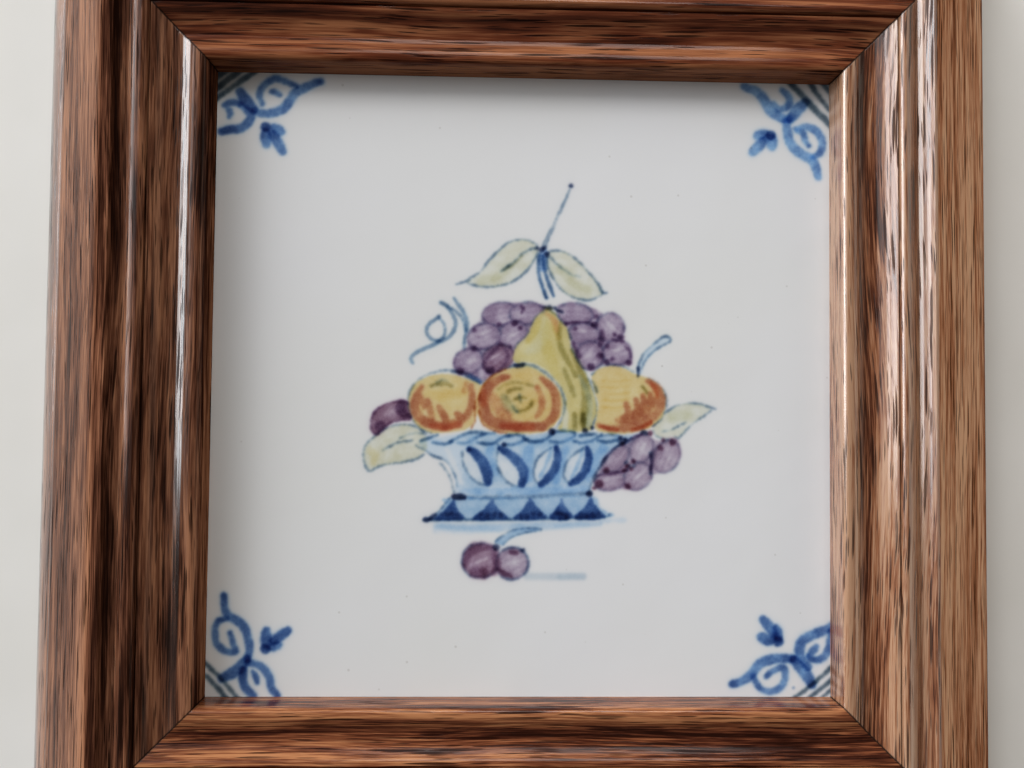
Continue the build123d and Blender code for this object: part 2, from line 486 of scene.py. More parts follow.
def grape(c, paint, centre, radii, tilt, tone, highlight=None, rim_tone=0.45):
    """One grape: a streaked fill, darker to its edge, with a drawn outline and a light spot."""
    turn = math.radians(tilt)
    ahead, aside = (math.cos(turn), -math.sin(turn)), (math.sin(turn), math.cos(turn))
    outline = []
    for k in range(12):
        a = math.tau * k / 12
        along, across = radii[0] * math.cos(a), radii[1] * math.sin(a)
        outline.append((centre[0] + ahead[0] * along + aside[0] * across,
                        centre[1] + ahead[1] * along + aside[1] * across))
    light = highlight or centre
    phase = c.rng.random(3) * 6

    def shade(u, v):
        along = (u - light[0]) * ahead[0] + (v - light[1]) * ahead[1]
        across = (u - light[0]) * aside[0] + (v - light[1]) * aside[1]
        away = np.hypot(along / radii[0], across / radii[1])
        streak = (np.sin(across * 1.1 + phase[0] + 0.10 * along) * 0.6
                  + np.sin(across * 2.3 + phase[1] - 0.07 * along) * 0.4)
        return 0.20 * np.clip(away, 0, 1.3) ** 1.5 - 0.04 + 0.10 * streak

    c.wash(paint, outline, tone, shade=shade, soft=2.2, rim=0.06, mottle=0.35, cover=0.85)
    c.brush(paint, 2.0, outline, rim_tone - 0.2, closed=True, mottle=0.8, strength=0.4, soft=2.4)
    c.brush(SLATE, 2.0, outline, 0.1, closed=True, mottle=0.9, strength=0.6, soft=2.4)
    if highlight:
        reach = 0.34 * min(radii)
        ends = [(light[0] + way * ahead[0] * reach, light[1] + way * ahead[1] * reach)
                for way in (-1, 1)]
        c.brush(BARE, [1.5, 3.2, 1.5], ends, 0.0, strength=0.5, soft=2.5, **WIPED)


LEFT_BUNCH = [
    (484, 316), (491, 307), (505, 303.6), (530, 303.6), (545, 307), (538, 322), (526, 340), (514, 352),
    (508, 366), (498, 376), (482, 380), (466, 374), (455, 370), (455, 356), (467, 348), (470, 332)]
RIGHT_BUNCH = [
    (556, 308), (566, 304), (580, 304), (594, 309), (606, 315), (618, 317), (624, 326), (622, 340),
    (630, 350), (630, 362), (618, 366), (600, 366), (590, 370), (580, 362), (573, 345), (566, 326)]
LEFT_GRAPES = (
    (PURPLE, (500, 314), (18, 11.6), 8, 0.14, (505, 321)),
    (PURPLE, (527, 313.5), (17.6, 11.2), 5, 0.16, (519, 314)),
    (PURPLE, (512, 335), (16.5, 12.6), 30, 0.16, (511, 335.6)),
    (PURPLE, (484, 336.5), (17, 12.8), 14, 0.12, (483, 333.4)),
    (WINE, (498, 359), (16.5, 13.5), 30, 0.16, (495.6, 356)),
    (PURPLE, (468.5, 361.5), (15, 12.6), 22, 0.16, (471, 361)),
)
LEFT_GRAPE_DOTS = (
    (499, 324.4, 2.2), (514.4, 323.3, 2.6), (520, 328, 1.8), (473.3, 349, 2.6), (500.6, 344.4, 2.6),
    (510, 346.7, 1.8), (460, 371, 3.6), (490, 371, 4.2), (474, 330, 1.6))
LEFT_GRAPE_GAPS = (
    (PURPLE, 2.4, [(521, 306), (523.5, 308.6), (521.5, 313)], 0.6),
    (PURPLE, 3.4, [(497, 348), (489, 355), (484, 366), (489, 372)], 0.4, SOFT),
    (PURPLE, 3.4, [(505, 349), (508, 355), (505, 364), (498, 371)], 0.35, SOFT),
    (NIGHT, [3, 4.2, 4.2, 3], [(453.5, 371), (462, 373.3), (471, 376.7), (478, 381), (482, 382.5),
     (485, 380)], 0.0, dict(soft=2.4, strength=0.8)),
    (COBALT, 4, [(470, 376), (479, 381)], 0.1, SOFT),
)
RIGHT_GRAPES = (
    (PURPLE, (575, 314), (18, 11), -8, 0.16),
    (PURPLE, (610, 327.5), (14.5, 14.5), -50, 0.12, (611, 326)),
    (PURPLE, (584, 334), (16, 10.8), -5, 0.18, (582, 331)),
    (PURPLE, (590, 355.5), (14.6, 14), 40, 0.18, (588, 356)),
    (PURPLE, (617, 352.5), (14.4, 12.8), 10, 0.14, (616, 350)),
)
RIGHT_GRAPE_GAPS = (
    (NIGHT, 2.6, [(554, 308), (558, 311, 0.2), (562, 312)], 0.3),
    (PURPLE, 2.2, [(565, 324), (575, 322.4), (588, 322.4), (594, 325)], 0.7),
    (PURPLE, [3, 6, 4], [(602, 331), (602, 338), (600, 345)], 0.72, SOFT),
    (PURPLE, [3, 5, 4], [(573, 343), (575.5, 349), (579, 356)], 0.68, SOFT),
)
RIGHT_GRAPE_DOTS = (
    (594, 325, 3.0), (565, 324, 2), (596, 316.6, 2.2), (619.5, 337, 2.2), (614.5, 334.5, 1.6),
    (575, 328, 2), (600, 356, 3), (591, 367, 3.2), (607, 346, 2), (606.5, 362, 2.6), (612, 359, 1.8),
    (628.6, 363, 2.4), (622.5, 341.6, 2))
RIGHT_GRAPE_EDGE = (
    (PURPLE, 2.2, [(612, 339.5), (619, 341), (624, 337)], 0.5),
    (PURPLE, [2, 3.4], [(625, 346), (630, 352), (631, 359), (629, 364)], 0.45),
)


def grapes(c):
    """The two bunches behind the pear."""
    for outline in (LEFT_BUNCH, RIGHT_BUNCH):
        c.wash(PURPLE, outline, 0.22, soft=3, rim=0.0, mottle=0.6)
    for one in LEFT_GRAPES:
        grape(c, *one)
    for x, y, radius in LEFT_GRAPE_DOTS:
        c.dot(PURPLE, x, y, radius, 0.8, soft=2.4)
    c.strokes(LEFT_GRAPE_GAPS)
    for one in RIGHT_GRAPES:
        grape(c, *one)
    c.strokes(RIGHT_GRAPE_GAPS)
    for x, y, radius in RIGHT_GRAPE_DOTS:
        c.dot(PURPLE, x, y, radius, 0.8, soft=2.4)
    c.strokes(RIGHT_GRAPE_EDGE)


PEAR_OUTLINE = [
    (547, 308.5), (541.5, 311.6), (537.6, 315), (534, 320.5), (531, 327), (528, 334), (522, 340),
    (517, 345), (513.7, 352), (512.4, 358), (515, 362), (530, 372), (548, 385), (560, 400), (562, 418),
    (559, 430), (575, 431.5), (590, 430), (593.3, 423), (596, 414), (596.5, 405), (595, 399),
    (592, 389), (588, 380), (584, 371), (579, 364), (574, 355), (571, 347), (570, 337), (566, 327),
    (561, 321), (556, 314.5), (551, 310.4)]
PEAR_STROKES = (
    (PEAR, [6, 8, 5], [(538, 320), (535, 330), (528, 341)], 0.5, dict(soft=4, cover=0.6)),
    (CREAM, [5, 10, 12, 6], [(545, 320), (544, 332), (538, 345), (528, 352)], 0.9,
     dict(soft=6, cover=0.8, strength=0.55)),
    (YELLOW, [3, 6, 4], [(553, 318), (556, 328), (558, 338)], 0.6,
     dict(soft=4, cover=0.4, strength=0.6)),
    (PEAR, [4, 9, 12, 8], [(547, 322), (546, 340), (550, 356), (556, 374)], 0.25,
     dict(soft=5, cover=0.4, strength=0.6)),
    (ORANGE, [3, 5, 5, 4], [(546, 313), (552, 318), (556, 324), (557, 330)], 0.05,
     dict(soft=3, cover=0.8, strength=0.75)),
    (OLIVE, [3, 4.5, 5, 5, 3.5], [(561, 322), (559, 337), (561, 347), (565, 356), (570, 365),
     (576, 376)], 0.25, dict(soft=3, strength=0.8)),
    (OLIVE, [3, 5, 4], [(564, 369), (570, 384), (574, 396)], 0.2, dict(soft=3, strength=0.75)),
    (OLIVE, [3, 6, 9, 8], [(572, 350), (579, 366), (585, 384), (586, 402), (583, 422)], 0.2,
     dict(soft=4, strength=0.9)),
    (SLATE, [3, 6, 7, 6], [(580, 376), (587, 392), (590, 406), (588, 424)], 0.1,
     dict(soft=4, cover=0.5, strength=0.7)),
    (OLIVE, 4, [(583, 414), (583.6, 427)], 0.65, SOFT),
    (OLIVE, 4.5, [(574.5, 414), (575, 428)], 0.3, dict(soft=2.4, strength=0.8)),
    (CREAM, 6, [(561, 402), (565.5, 414), (565, 428)], 0.2, dict(soft=2.5, cover=0.8)),
    (BARE_GAP, [2, 4.5, 5, 4.5, 3], [(521, 362.5), (535, 366), (547, 374), (558, 386), (566, 400)], 0.0,
     dict(soft=2, cover=0.8)),
    (SLATE, 1.6, [(551, 311), (557, 315), (561.4, 321), (566.6, 327), (570.4, 337), (571.6, 347),
     (575, 355), (580, 364), (585, 371), (588.6, 380), (592.6, 389), (595.6, 399), (596.6, 405, 0.2),
     (596.4, 414, 0.2), (593.5, 423, 0.3), (591.7, 429, 0.5)], 0.25, DRY),
    (SLATE, 1.2, [(545, 311), (538, 314.6), (534, 319.6), (531, 326), (528, 333.6), (522, 339.6),
     (517, 344.6), (513.6, 351.6), (512, 358), (514, 361.5)], 0.05, DRY),
    (NIGHT, 3.6, [(545, 307.6), (550, 307.4)], 0.15, FIRM),
    (OLIVE, 3.4, [(545, 308.6), (551, 308.6)], 0.6, FIRM),
    (NIGHT, 4.4, [(585, 430.6)], 0.45),
    (NIGHT, 3.6, [(592, 427.6)], 0.45),
)


PEAR_LIGHT = (528, 350)  # a pixel that the slanting streak of light runs through
PEAR_LIGHT_ROW = 352  # the row of pixels where the streak is brightest


def pear_shade(u, v):
    """The pear is paler along its streak of light."""
    from_streak = u - PEAR_LIGHT[0] - 0.2 * (v - PEAR_LIGHT[1])
    lit = np.exp(-(from_streak / 9) ** 2 - ((v - PEAR_LIGHT_ROW) / 26) ** 2)
    return 0.12 - 0.3 * lit


def pear(c):
    """The pear in the middle of the back row."""
    c.wash(PEAR, PEAR_OUTLINE, 0.48, pear_shade, cover=0.95, rim=0.05, mottle=0.25)
    c.strokes(PEAR_STROKES)


PLUM_OUTLINE = [
    (370.7, 424), (372.4, 416.4), (377, 409.3), (385.7, 404.2), (395.7, 401.4), (404.3, 400.7),
    (409, 404), (411, 412), (410, 419.3), (403, 420), (393, 422), (385.7, 426.4), (380, 432),
    (375.7, 434.3), (371.8, 431)]
PLUM_STROKES = (
    (BARE, [2, 5, 3], [(384, 415), (391, 411.5), (396, 412)], 0.0, dict(WIPED, strength=0.35, soft=4)),
    (PURPLE, [8, 10, 7], [(401, 404), (400.7, 409), (404, 415)], 0.5, SOFTER),
    (PURPLE, 10, [(380, 426)], 0.55, SOFTER),
    (PURPLE, 4.8, [(408.5, 416)], 0.6),
)


def left_plum(c):
    """The plum at the far left."""
    c.wash(WINE, PLUM_OUTLINE, 0.36, mottle=0.35, rim=0.15, soft=1.6)
    c.brush(PURPLE, 1.8, PLUM_OUTLINE, 0.45, closed=True, mottle=0.6)
    c.strokes(PLUM_STROKES)


LEFT_APPLE_OUTLINE = [
    (408.3, 404), (409, 396), (411.4, 389.6), (417, 382), (425.7, 377.6), (437, 374.6), (448.6, 374),
    (460, 376.6), (470, 380), (480, 384.3), (481, 391), (479.5, 402), (478.5, 411), (474.5, 421),
    (468.6, 428), (460, 431), (445.7, 432.6), (431.4, 432.4), (421.4, 428.4), (414.3, 421),
    (409.6, 412)]
LEFT_APPLE_BLUSH = (
    (YELLOW, [6, 11, 8], [(428, 394), (444, 396), (462, 392)], 0.2, dict(soft=6, strength=0.35)),
    (ORANGE, [4, 7, 9, 9, 8], [(421.5, 387), (416.4, 397), (415, 408), (419, 416), (427, 423)], 0.42,
     BLUSH),
    (ORANGE, [8, 9, 9, 7, 6, 6], [(424, 421), (440, 426), (453, 424), (465, 417.6), (470.6, 408),
     (472, 397), (471, 386)], 0.36, THIN_BLUSH),
    (RED, [5, 7, 6], [(432, 425.6), (446, 427), (459, 424)], 0.25, OVER),
)
LEFT_APPLE_TONGUES = (
    [(427.6, 401), (430, 409), (432, 418)],
    [(439, 407), (443, 414), (446, 420)],
    [(457, 414), (462, 418)],
    [(420, 396), (424, 406)],
)
LEFT_APPLE_LINES = (
    (ORANGE, 4, [(466, 383), (464, 391)], 0.2, dict(soft=3, cover=0.6, strength=0.7)),
    (OLIVE, [2.4, 4.4, 2.8], [(431, 386), (438, 384), (444, 383.6), (451.4, 385.7)], 0.12,
     dict(mottle=1.0, soft=3, strength=0.8)),
    (SLATE, 2.4, [(437, 382), (443, 380), (448, 381.6)], 0.15, dict(mottle=0.9, soft=2.4)),
    (SLATE, [1.6, 2.4, 2.2, 1.6], [(408, 404), (408.6, 396), (411.6, 388), (418, 380.6), (428, 374.6),
     (440, 371), (452, 370.8), (462, 374), (474, 379.6), (480, 383)], 0.25, EVEN),
    (SLATE, 1.6, [(408, 404), (409.6, 413), (414, 421.6), (421, 429), (431, 433)], 0.25),
    (ORANGE, 1.6, [(475.6, 400), (474.6, 410), (475, 421), (471, 428)], 0.5, EVEN),
)


def left_apple(c):
    """The left apple, yellow with orange brushed round its lower side."""
    c.wash(YELLOW, LEFT_APPLE_OUTLINE, 0.36, cover=0.9, mottle=0.3)
    c.strokes(LEFT_APPLE_BLUSH)
    for points in LEFT_APPLE_TONGUES:
        c.brush(ORANGE, [5, 6.5, 6], points, 0.3, soft=3, cover=0.8, mottle=0.5)
    c.strokes(LEFT_APPLE_LINES)


MIDDLE_APPLE_OUTLINE = [
    (477, 400), (480, 389.3), (488, 379.3), (497, 373), (507, 368.6), (520, 367), (531.4, 368.6),
    (541.4, 373.6), (551.4, 382), (559.3, 393.6), (562, 405), (560, 416.4), (553, 426.4), (541.4, 432),
    (524.3, 433.6), (507, 433), (493, 429.3), (483, 423.6), (477.6, 412)]
MIDDLE_APPLE_STROKES = (
    (ORANGE, [5, 8, 10, 11, 11, 10, 9, 8], [(508, 376.4), (497, 380), (487.6, 389.3), (484, 402),
     (485.4, 414), (493, 421.6), (505.7, 425), (520, 426), (531.4, 426.6), (543, 427)], 0.5, BLUSH),
    (RED, [5, 7, 6], [(502, 425.6), (517, 427.4), (532, 427)], 0.3, OVER),
    (RED, [5, 6], [(483.6, 392), (484, 404)], 0.05, dict(soft=4, cover=0.6, strength=0.7)),
    (ORANGE, [4, 7, 8, 8, 7], [(541.5, 378), (550, 385.6), (556, 396.4), (556, 409.3), (551.4, 419.3),
     (541.4, 427)], 0.42, THIN_BLUSH),
    (ORANGE, [4, 6, 6, 4], [(537, 387), (541.6, 397), (541.4, 409.3), (536.6, 417)], 0.22,
     dict(soft=3, cover=0.7, mottle=0.5)),
    (ORANGE, [8, 13, 12, 7], [(492, 396), (498, 405), (503, 413), (511, 418)], 0.22,
     dict(soft=5, cover=0.8, mottle=0.7)),
    (OLIVE, [6, 10, 8], [(504, 397), (507, 404), (513, 409)], 0.05,
     dict(soft=5, cover=0.5, mottle=0.9)),
    (YELLOW, [5, 7, 6], [(514, 417), (522, 419), (531, 416)], 0.35, dict(soft=3, cover=0.9)),
    (YELLOW, [5, 7, 5], [(520, 403), (526, 406), (533, 402)], 0.3, OVER),
    (OLIVE, [2, 3, 3, 2], [(498, 389), (504, 385), (511.4, 383), (524.3, 383.4), (533, 386)], 0.0,
     dict(mottle=0.9, soft=3, strength=0.8)),
    (OLIVE, 3.0, [(508, 391.6), (514, 389), (522, 389)], 0.02, dict(mottle=0.9, soft=3)),
    (YELLOW, 6, [(514, 377), (528, 376)], 0.35, dict(soft=4, cover=0.8)),
    (OLIVE, 2.8, [(514, 400), (520, 397.6, 0.3), (526, 398)], 0.2, dict(mottle=0.9, soft=2.6)),
    (SLATE, 2.4, [(519.6, 395), (520.6, 402.6)], 0.35, dict(mottle=0.8, soft=2.4)),
    (OLIVE, 3.0, [(532, 401), (530, 406), (525.7, 409.6), (520, 411.6)], 0.08,
     dict(mottle=0.9, soft=3)),
    (SLATE, 1.6, [(512, 405), (515, 410), (517.4, 412)], 0.2, dict(mottle=0.8, soft=2)),
    (SLATE, 3.0, [(516.8, 411.6)], 0.4, FIRM),
    (SLATE, [1.8, 2.6, 2.6, 2.4, 2.0, 1.6], [(503, 368.5), (511.4, 366.6), (520, 364.8, 0.2),
     (531.4, 365.4), (541.4, 370), (551.4, 378), (560, 388), (564.3, 399.3), (564.3, 410.7), (560, 422),
     (553, 430.7)], 0.28, EVEN),
    (NIGHT, 3.4, [(515, 365), (519, 366), (524, 364.6)], 0.4, dict(mottle=0.5)),
    (ORANGE, 1.6, [(479, 400), (481.4, 389.3), (488.6, 379), (497, 372.6), (505, 369)], 0.5),
    (ORANGE, 1.6, [(479, 411), (483, 424), (493, 430), (507, 433.6)], 0.4),
)


def middle_apple(c):
    """The middle apple, seen from its blossom end."""
    c.wash(YELLOW, MIDDLE_APPLE_OUTLINE, 0.52, cover=1.0, mottle=0.3)
    c.strokes(MIDDLE_APPLE_STROKES)


RIGHT_APPLE_OUTLINE = [
    (592, 379), (595, 371.7), (601.7, 367.8), (609.4, 366), (618.3, 366.7), (627, 369.4), (634, 374),
    (641.7, 376.7), (649.4, 379), (657, 383.3), (662.8, 390.6), (665.6, 399.4), (665, 408.3),
    (661, 418.3), (654, 425), (645, 429.4), (634, 432), (620.6, 434), (607, 432.8), (597, 430.6),
    (594.8, 425), (597.2, 414), (598, 402.8), (595, 391.7)]
RIGHT_APPLE_STREAKS = (381, 387, 393.5, 400, 407)  # rows of pixels
RIGHT_APPLE_STREAK_COLUMNS = (602, 615, 629)
RIGHT_APPLE_BLUSH = (
    (ORANGE, [3, 5, 7, 8, 9, 8, 8], [(598, 424.5), (604, 427), (615, 428.6), (628, 427.6), (641, 423.6),
     (653, 416.5), (660, 407), (661.6, 397)], 0.38, BLUSH),
    (ORANGE, [8, 7, 5], [(660, 400), (659, 391), (653, 384), (648, 381)], 0.42, BLUSH),
    (ORANGE, [7, 11, 12, 10], [(619, 420.5), (632, 418), (643, 411), (652, 402)], 0.3,
     dict(soft=4, cover=0.85, mottle=0.7)),
)
RIGHT_APPLE_TONGUES = (
    [(626, 404), (628.6, 413), (624, 419)],
    [(636, 400), (638, 410), (634, 417)],
    [(643, 395), (644, 405), (640, 414)],
    [(650, 394), (652, 405)],
)
RIGHT_APPLE_LINES = (
    (RED, 3, [(600, 426.4), (608, 428.4), (617, 430)], 0.3, dict(soft=3, cover=0.6)),
    (RED, 3.5, [(632, 430), (643, 427), (651, 422)], 0.2, dict(soft=3, cover=0.5)),
    (RED, [4, 6, 4], [(652, 384), (656, 390), (657, 397)], 0.05, dict(soft=3, cover=0.6)),
    (OLIVE, 2.6, [(642, 386.6), (645, 389.6), (647, 393)], 0.4),
    (SLATE, 2.0, [(592.4, 374), (598, 368.4), (606, 365.2), (615, 365), (625, 367.2), (634, 372)], 0.25,
     DRAWN),
    (SLATE, 1.6, [(649, 378.4), (657.6, 382.6), (663.6, 390), (666.4, 399), (665.8, 409), (662, 418),
     (655, 425.6)], 0.1, DRAWN),
    (SLATE, [1.6, 2.6, 1.8], [(591.6, 381), (594, 384), (597, 392)], 0.5),
)
APPLE_STEM = [
    (637.6, 374), (638.3, 366), (641, 359), (646, 351.6), (652, 345.4), (659.4, 339.6), (665.6, 336.2),
    (670, 338.6), (669, 342.6), (661, 347), (653.4, 352.6), (647, 359.6), (642.6, 367), (641.4, 374)]
APPLE_STEM_LINES = (
    (SLATE, 1.8, [(637.8, 374, 0.3), (638.3, 367), (640.6, 359.4), (645, 352), (651.7, 345.6),
     (659.4, 339.4), (665.6, 336, 0.35), (670.6, 338.4, 0.2), (669.4, 342.2)], 0.35, DRAWN),
    (SLATE, 1.6, [(641.7, 368.3), (646, 359.4), (652.8, 352), (660.6, 346.7), (668.6, 342.4)], 0.3,
     DRAWN),
    (NIGHT, 2.6, [(638.3, 368), (638.4, 376)], 0.25),
)


def right_apple(c):
    """The right apple with its stem."""
    c.wash(YELLOW, RIGHT_APPLE_OUTLINE, 0.36, cover=0.95, mottle=0.25)
    left, middle, right = RIGHT_APPLE_STREAK_COLUMNS
    for y in RIGHT_APPLE_STREAKS:
        points = [(left, y), (middle, y + 0.6), (right, y - 0.8)]
        c.brush(YELLOW, [1.2, 2.2, 1.4], points, 0.28, soft=2, strength=0.5)
    c.strokes(RIGHT_APPLE_BLUSH)
    for points in RIGHT_APPLE_TONGUES:
        c.brush(ORANGE, [4.5, 6.5, 6], points, 0.32, soft=2.6, cover=0.8, mottle=0.5)
    c.strokes(RIGHT_APPLE_LINES)
    c.wash(PALE_BLUE, APPLE_STEM, 0.05, soft=2.2, strength=0.8)
    c.strokes(APPLE_STEM_LINES)


LOW_LEFT_LEAF = [
    (363.8, 455), (365, 446.6), (370, 440), (377.5, 434.4), (385, 428.8), (395, 425.6), (405, 424.4),
    (413.8, 426), (421, 430), (426, 438), (427, 446), (422, 455), (413.8, 460), (405, 462), (395, 463),
    (385, 464.4), (376.3, 467.5), (371, 471), (366.6, 468.6), (364, 461)]
LOW_LEFT_LEAF_LINES = (
    (YELLOW, [6, 9, 5], [(370, 450), (375, 455), (374, 463)], 0.1, dict(soft=5, strength=0.45)),
    (SLATE, 1.9, [(423.8, 454.4, 0.3), (418, 458.4), (411, 460.6), (401, 462.6), (391, 463.6),
     (382, 465.4), (375, 468.6), (371, 471), (367, 469), (365, 464), (363.8, 457), (364.2, 449),
     (367.6, 442.6), (374, 437), (381, 431.6), (389, 427), (398, 425), (407, 424.6, 0.1),
     (415, 426.4, 0.25), (424, 431.6, 0.35)], 0.35, DRAWN),
    (SLATE, 1.8, [(383, 450), (390, 446.3), (396.3, 443), (405, 441.4), (412, 440.6)], 0.22, DRIEST),
    (SLATE, 2.2, [(400, 438), (408.8, 434.4), (417.5, 433), (426, 434)], 0.3, DRY),
)
LOW_RIGHT_LEAF = [
    (663, 414), (669.4, 409.6), (676, 406), (685, 404), (694, 403.6), (703, 404.6), (710.6, 408),
    (704, 416), (697, 420.6), (689.4, 427), (682.8, 434), (678.3, 438.3), (668, 440), (657, 436.4),
    (652.8, 431), (656, 422)]
LOW_RIGHT_LEAF_LINES = (
    (CREAM, 10, [(672, 418), (688, 414)], 0.3, dict(soft=6, mottle=0.4)),
    (SLATE, 1.9, [(662, 414.6), (669.4, 410), (676, 406), (685, 404), (694, 403.6), (701.7, 404.4),
     (708.3, 407, 0.2), (715.6, 409, 0.35)], 0.32, DRAWN),
    (SLATE, 1.8, [(711, 410.4), (704, 416), (697, 420.6), (689.4, 427), (682.8, 434), (678.3, 438, 0.1),
     (675, 437, 0.3)], 0.32, DRAWN),
    (SLATE, 1.6, [(672, 440), (665, 439.4), (656, 436), (653, 431)], 0.15, DRAWN),
    (SLATE, 1.6, [(661.7, 431.7), (671.7, 429.4), (680.6, 425), (686, 422.6)], 0.12, DRIEST),
    (NIGHT, 2, [(653, 426), (657.6, 421.4)], 0.2),
)


def side_leaves(c):
    """The leaf under the plum and the one right of the right apple."""
    c.wash(CREAM, LOW_LEFT_LEAF, 0.6, mottle=0.9, soft=2.4, rim=0.0)
    c.strokes(LOW_LEFT_LEAF_LINES)
    c.wash(CREAM, LOW_RIGHT_LEAF, 0.3, mottle=0.7, soft=2.0, rim=0.0)
    c.strokes(LOW_RIGHT_LEAF_LINES)


BASKET_BODY = [
    (421, 440.5), (440, 437), (475, 433), (520, 435.5), (560, 432), (610, 435.6), (643, 434),
    (632, 441), (620, 446), (612, 452), (606, 459), (600, 466.6), (595.6, 474), (592, 481),
    (589.6, 490), (588, 495.5), (550, 497.5), (500, 499), (462, 498.6), (454.6, 493), (455.6, 484),
    (452.4, 473), (448, 464), (442, 459), (435, 456.6), (429, 453), (420, 447)]
OPENINGS = (
    [(462, 453), (463, 462.5), (466.6, 471.3), (472.5, 478.8), (480, 483.8), (487, 483.4), (489.4, 475),
     (485, 464), (478.6, 455), (470.6, 449)],
    [(498.8, 448.8), (496.4, 458.8), (498.8, 470), (505, 479.6), (512.5, 485), (521.6, 485),
     (525.6, 477), (524, 467), (517.6, 459), (509.6, 452.4), (502, 447.6)],
    [(551.6, 447.6), (542.5, 453.8), (536.3, 461.3), (533.4, 471.3), (535, 480), (540, 485), (548, 481),
     (554.6, 472.5), (558.4, 463), (559, 453.6), (556.6, 447)],
    [(583.6, 448), (573.8, 455), (566.6, 462.5), (564, 471.3), (565, 478.8), (570, 483.6), (579, 480.6),
     (586, 472.5), (589.8, 463), (590, 454), (587.6, 447.4)],
)
BASKET_STREAKS = (
    (PALE_BLUE, [5, 7, 7, 6], [(462, 491.5), (500, 491.6), (545, 490.6), (586, 489)], 0.12,
     dict(soft=4, mottle=0.6)),
    (PALE_BLUE, [6, 8, 5], [(492, 447), (489, 456), (496, 474)], 0.15, SOFTER),
    (PALE_BLUE, [8, 12, 8], [(530, 447), (527, 458), (529, 478)], 0.12, dict(soft=5)),
    (PALE_BLUE, [6, 9, 6], [(566, 448), (561, 462), (556, 482)], 0.15, SOFTER),
    (PALE_BLUE, [8, 9, 5], [(604, 447), (596, 460), (588, 480)], 0.2, SOFTER),
    (BARE, [4, 6, 5], [(447, 449), (453, 463), (461, 482)], 0.0, dict(WIPED, strength=0.55, soft=4)),
)
CRESCENTS = (
    [(469.6, 449.6, 0.35), (477, 455), (483.6, 463.8), (487.6, 473.8, 0.1), (488, 482.6, 0.3)],
    [(500.6, 448.4, 0.35), (508.8, 453.8), (516.6, 460.6), (522.6, 469), (524, 477.5, 0.1),
     (521.6, 484, 0.25)],
    [(556.4, 447.4, 0.35), (558, 455), (556.6, 463.8), (552.5, 472.5), (546.3, 480, 0.1),
     (540.6, 485, 0.3)],
    [(587, 448, 0.35), (589, 455), (587.6, 463.8), (583.8, 472.5), (577.5, 480, 0.1),
     (570.6, 483.6, 0.35)],
)
OPENING_MARKS = (
    (PALE_BLUE, 3.4, [(551, 449), (549, 457), (544.6, 468), (540, 477)], 0.5, dict(soft=3)),
    (PALE_BLUE, 3.4, [(582, 450), (581, 457), (576.6, 468), (572, 477)], 0.5, dict(soft=3)),
    (SLATE, 1.8, [(498.8, 449), (497.4, 444)], 0.3),
    (NIGHT, 4, [(504, 444.8)], 0.2),
    (NIGHT, 3.6, [(469, 450)], 0.3),
)
ROPE_STRANDS = (
    [(421, 441), (430, 437.5), (437.5, 435)],
    [(433, 442.4), (445, 443.8), (452, 441.6)],
    [(451.3, 441.3), (458.8, 437), (467.5, 433), (476.3, 432), (485, 433)],
    [(457, 442.6), (466.3, 443), (472.5, 440), (478.8, 436.3), (486.3, 433.8), (495, 433)],
    [(477.5, 442.5), (487.5, 443.8), (495, 442.5), (501.3, 438), (508.8, 435)],
    [(503.8, 444.8), (513.8, 444.4), (520, 442), (527.5, 438.8)],
    [(508, 436), (516, 434.6), (524, 436)],
    [(523.8, 438, 0.3), (530, 441.3), (540, 441.3), (546.3, 438.8), (551.3, 435)],
    [(550, 441.3), (558.8, 442.5), (567.5, 440), (573.8, 436.3), (575, 433)],
    [(553, 432), (560, 431.2), (567.5, 431.3), (574, 432.4)],
    [(573.8, 441.3), (581.3, 443), (590, 441.3), (597.5, 437), (601.3, 434.4)],
    [(580, 436), (588, 434.4), (597, 434)],
    [(597.5, 440), (605, 442), (612.5, 441.3), (618.8, 438.8)],
    [(602, 435.6), (610, 434.4), (618, 435.6)],
    [(618, 441), (624, 443.4), (631, 441), (640, 436)],
)
ROPE_KNOTS = ((551.3, 432, 2.8), (643.8, 433.8, 3.2), (620.4, 438.4, 1.7), (625, 440, 1.7))
# Each line's points, tone and width.
BASKET_SIDES = (
    ([(416, 445.6), (426.3, 451.3), (431, 454.6)], 0.35, 1.8),
    ([(431, 454.6), (435.6, 457, 0.35), (442.5, 459), (448.8, 464), (453.6, 472.5), (456.3, 480),
     (457.4, 487)], 0.35, 1.9),
    ([(440, 463), (445, 468.6), (449.4, 476), (452, 484), (453.8, 492)], 0.12, 1.7),
    ([(632, 438), (620, 445), (612.5, 451.3), (606.3, 458.8), (600, 466.3), (595.6, 473.8),
     (592.5, 480), (590, 487.5, 0.2), (589.4, 493, 0.4)], 0.6, 2.2),
)
BASKET_FOOT = [
    (450, 498), (445, 503.8), (440, 510), (434, 516), (429, 520), (520, 520), (610, 516.6), (600, 508),
    (592, 496), (540, 497)]
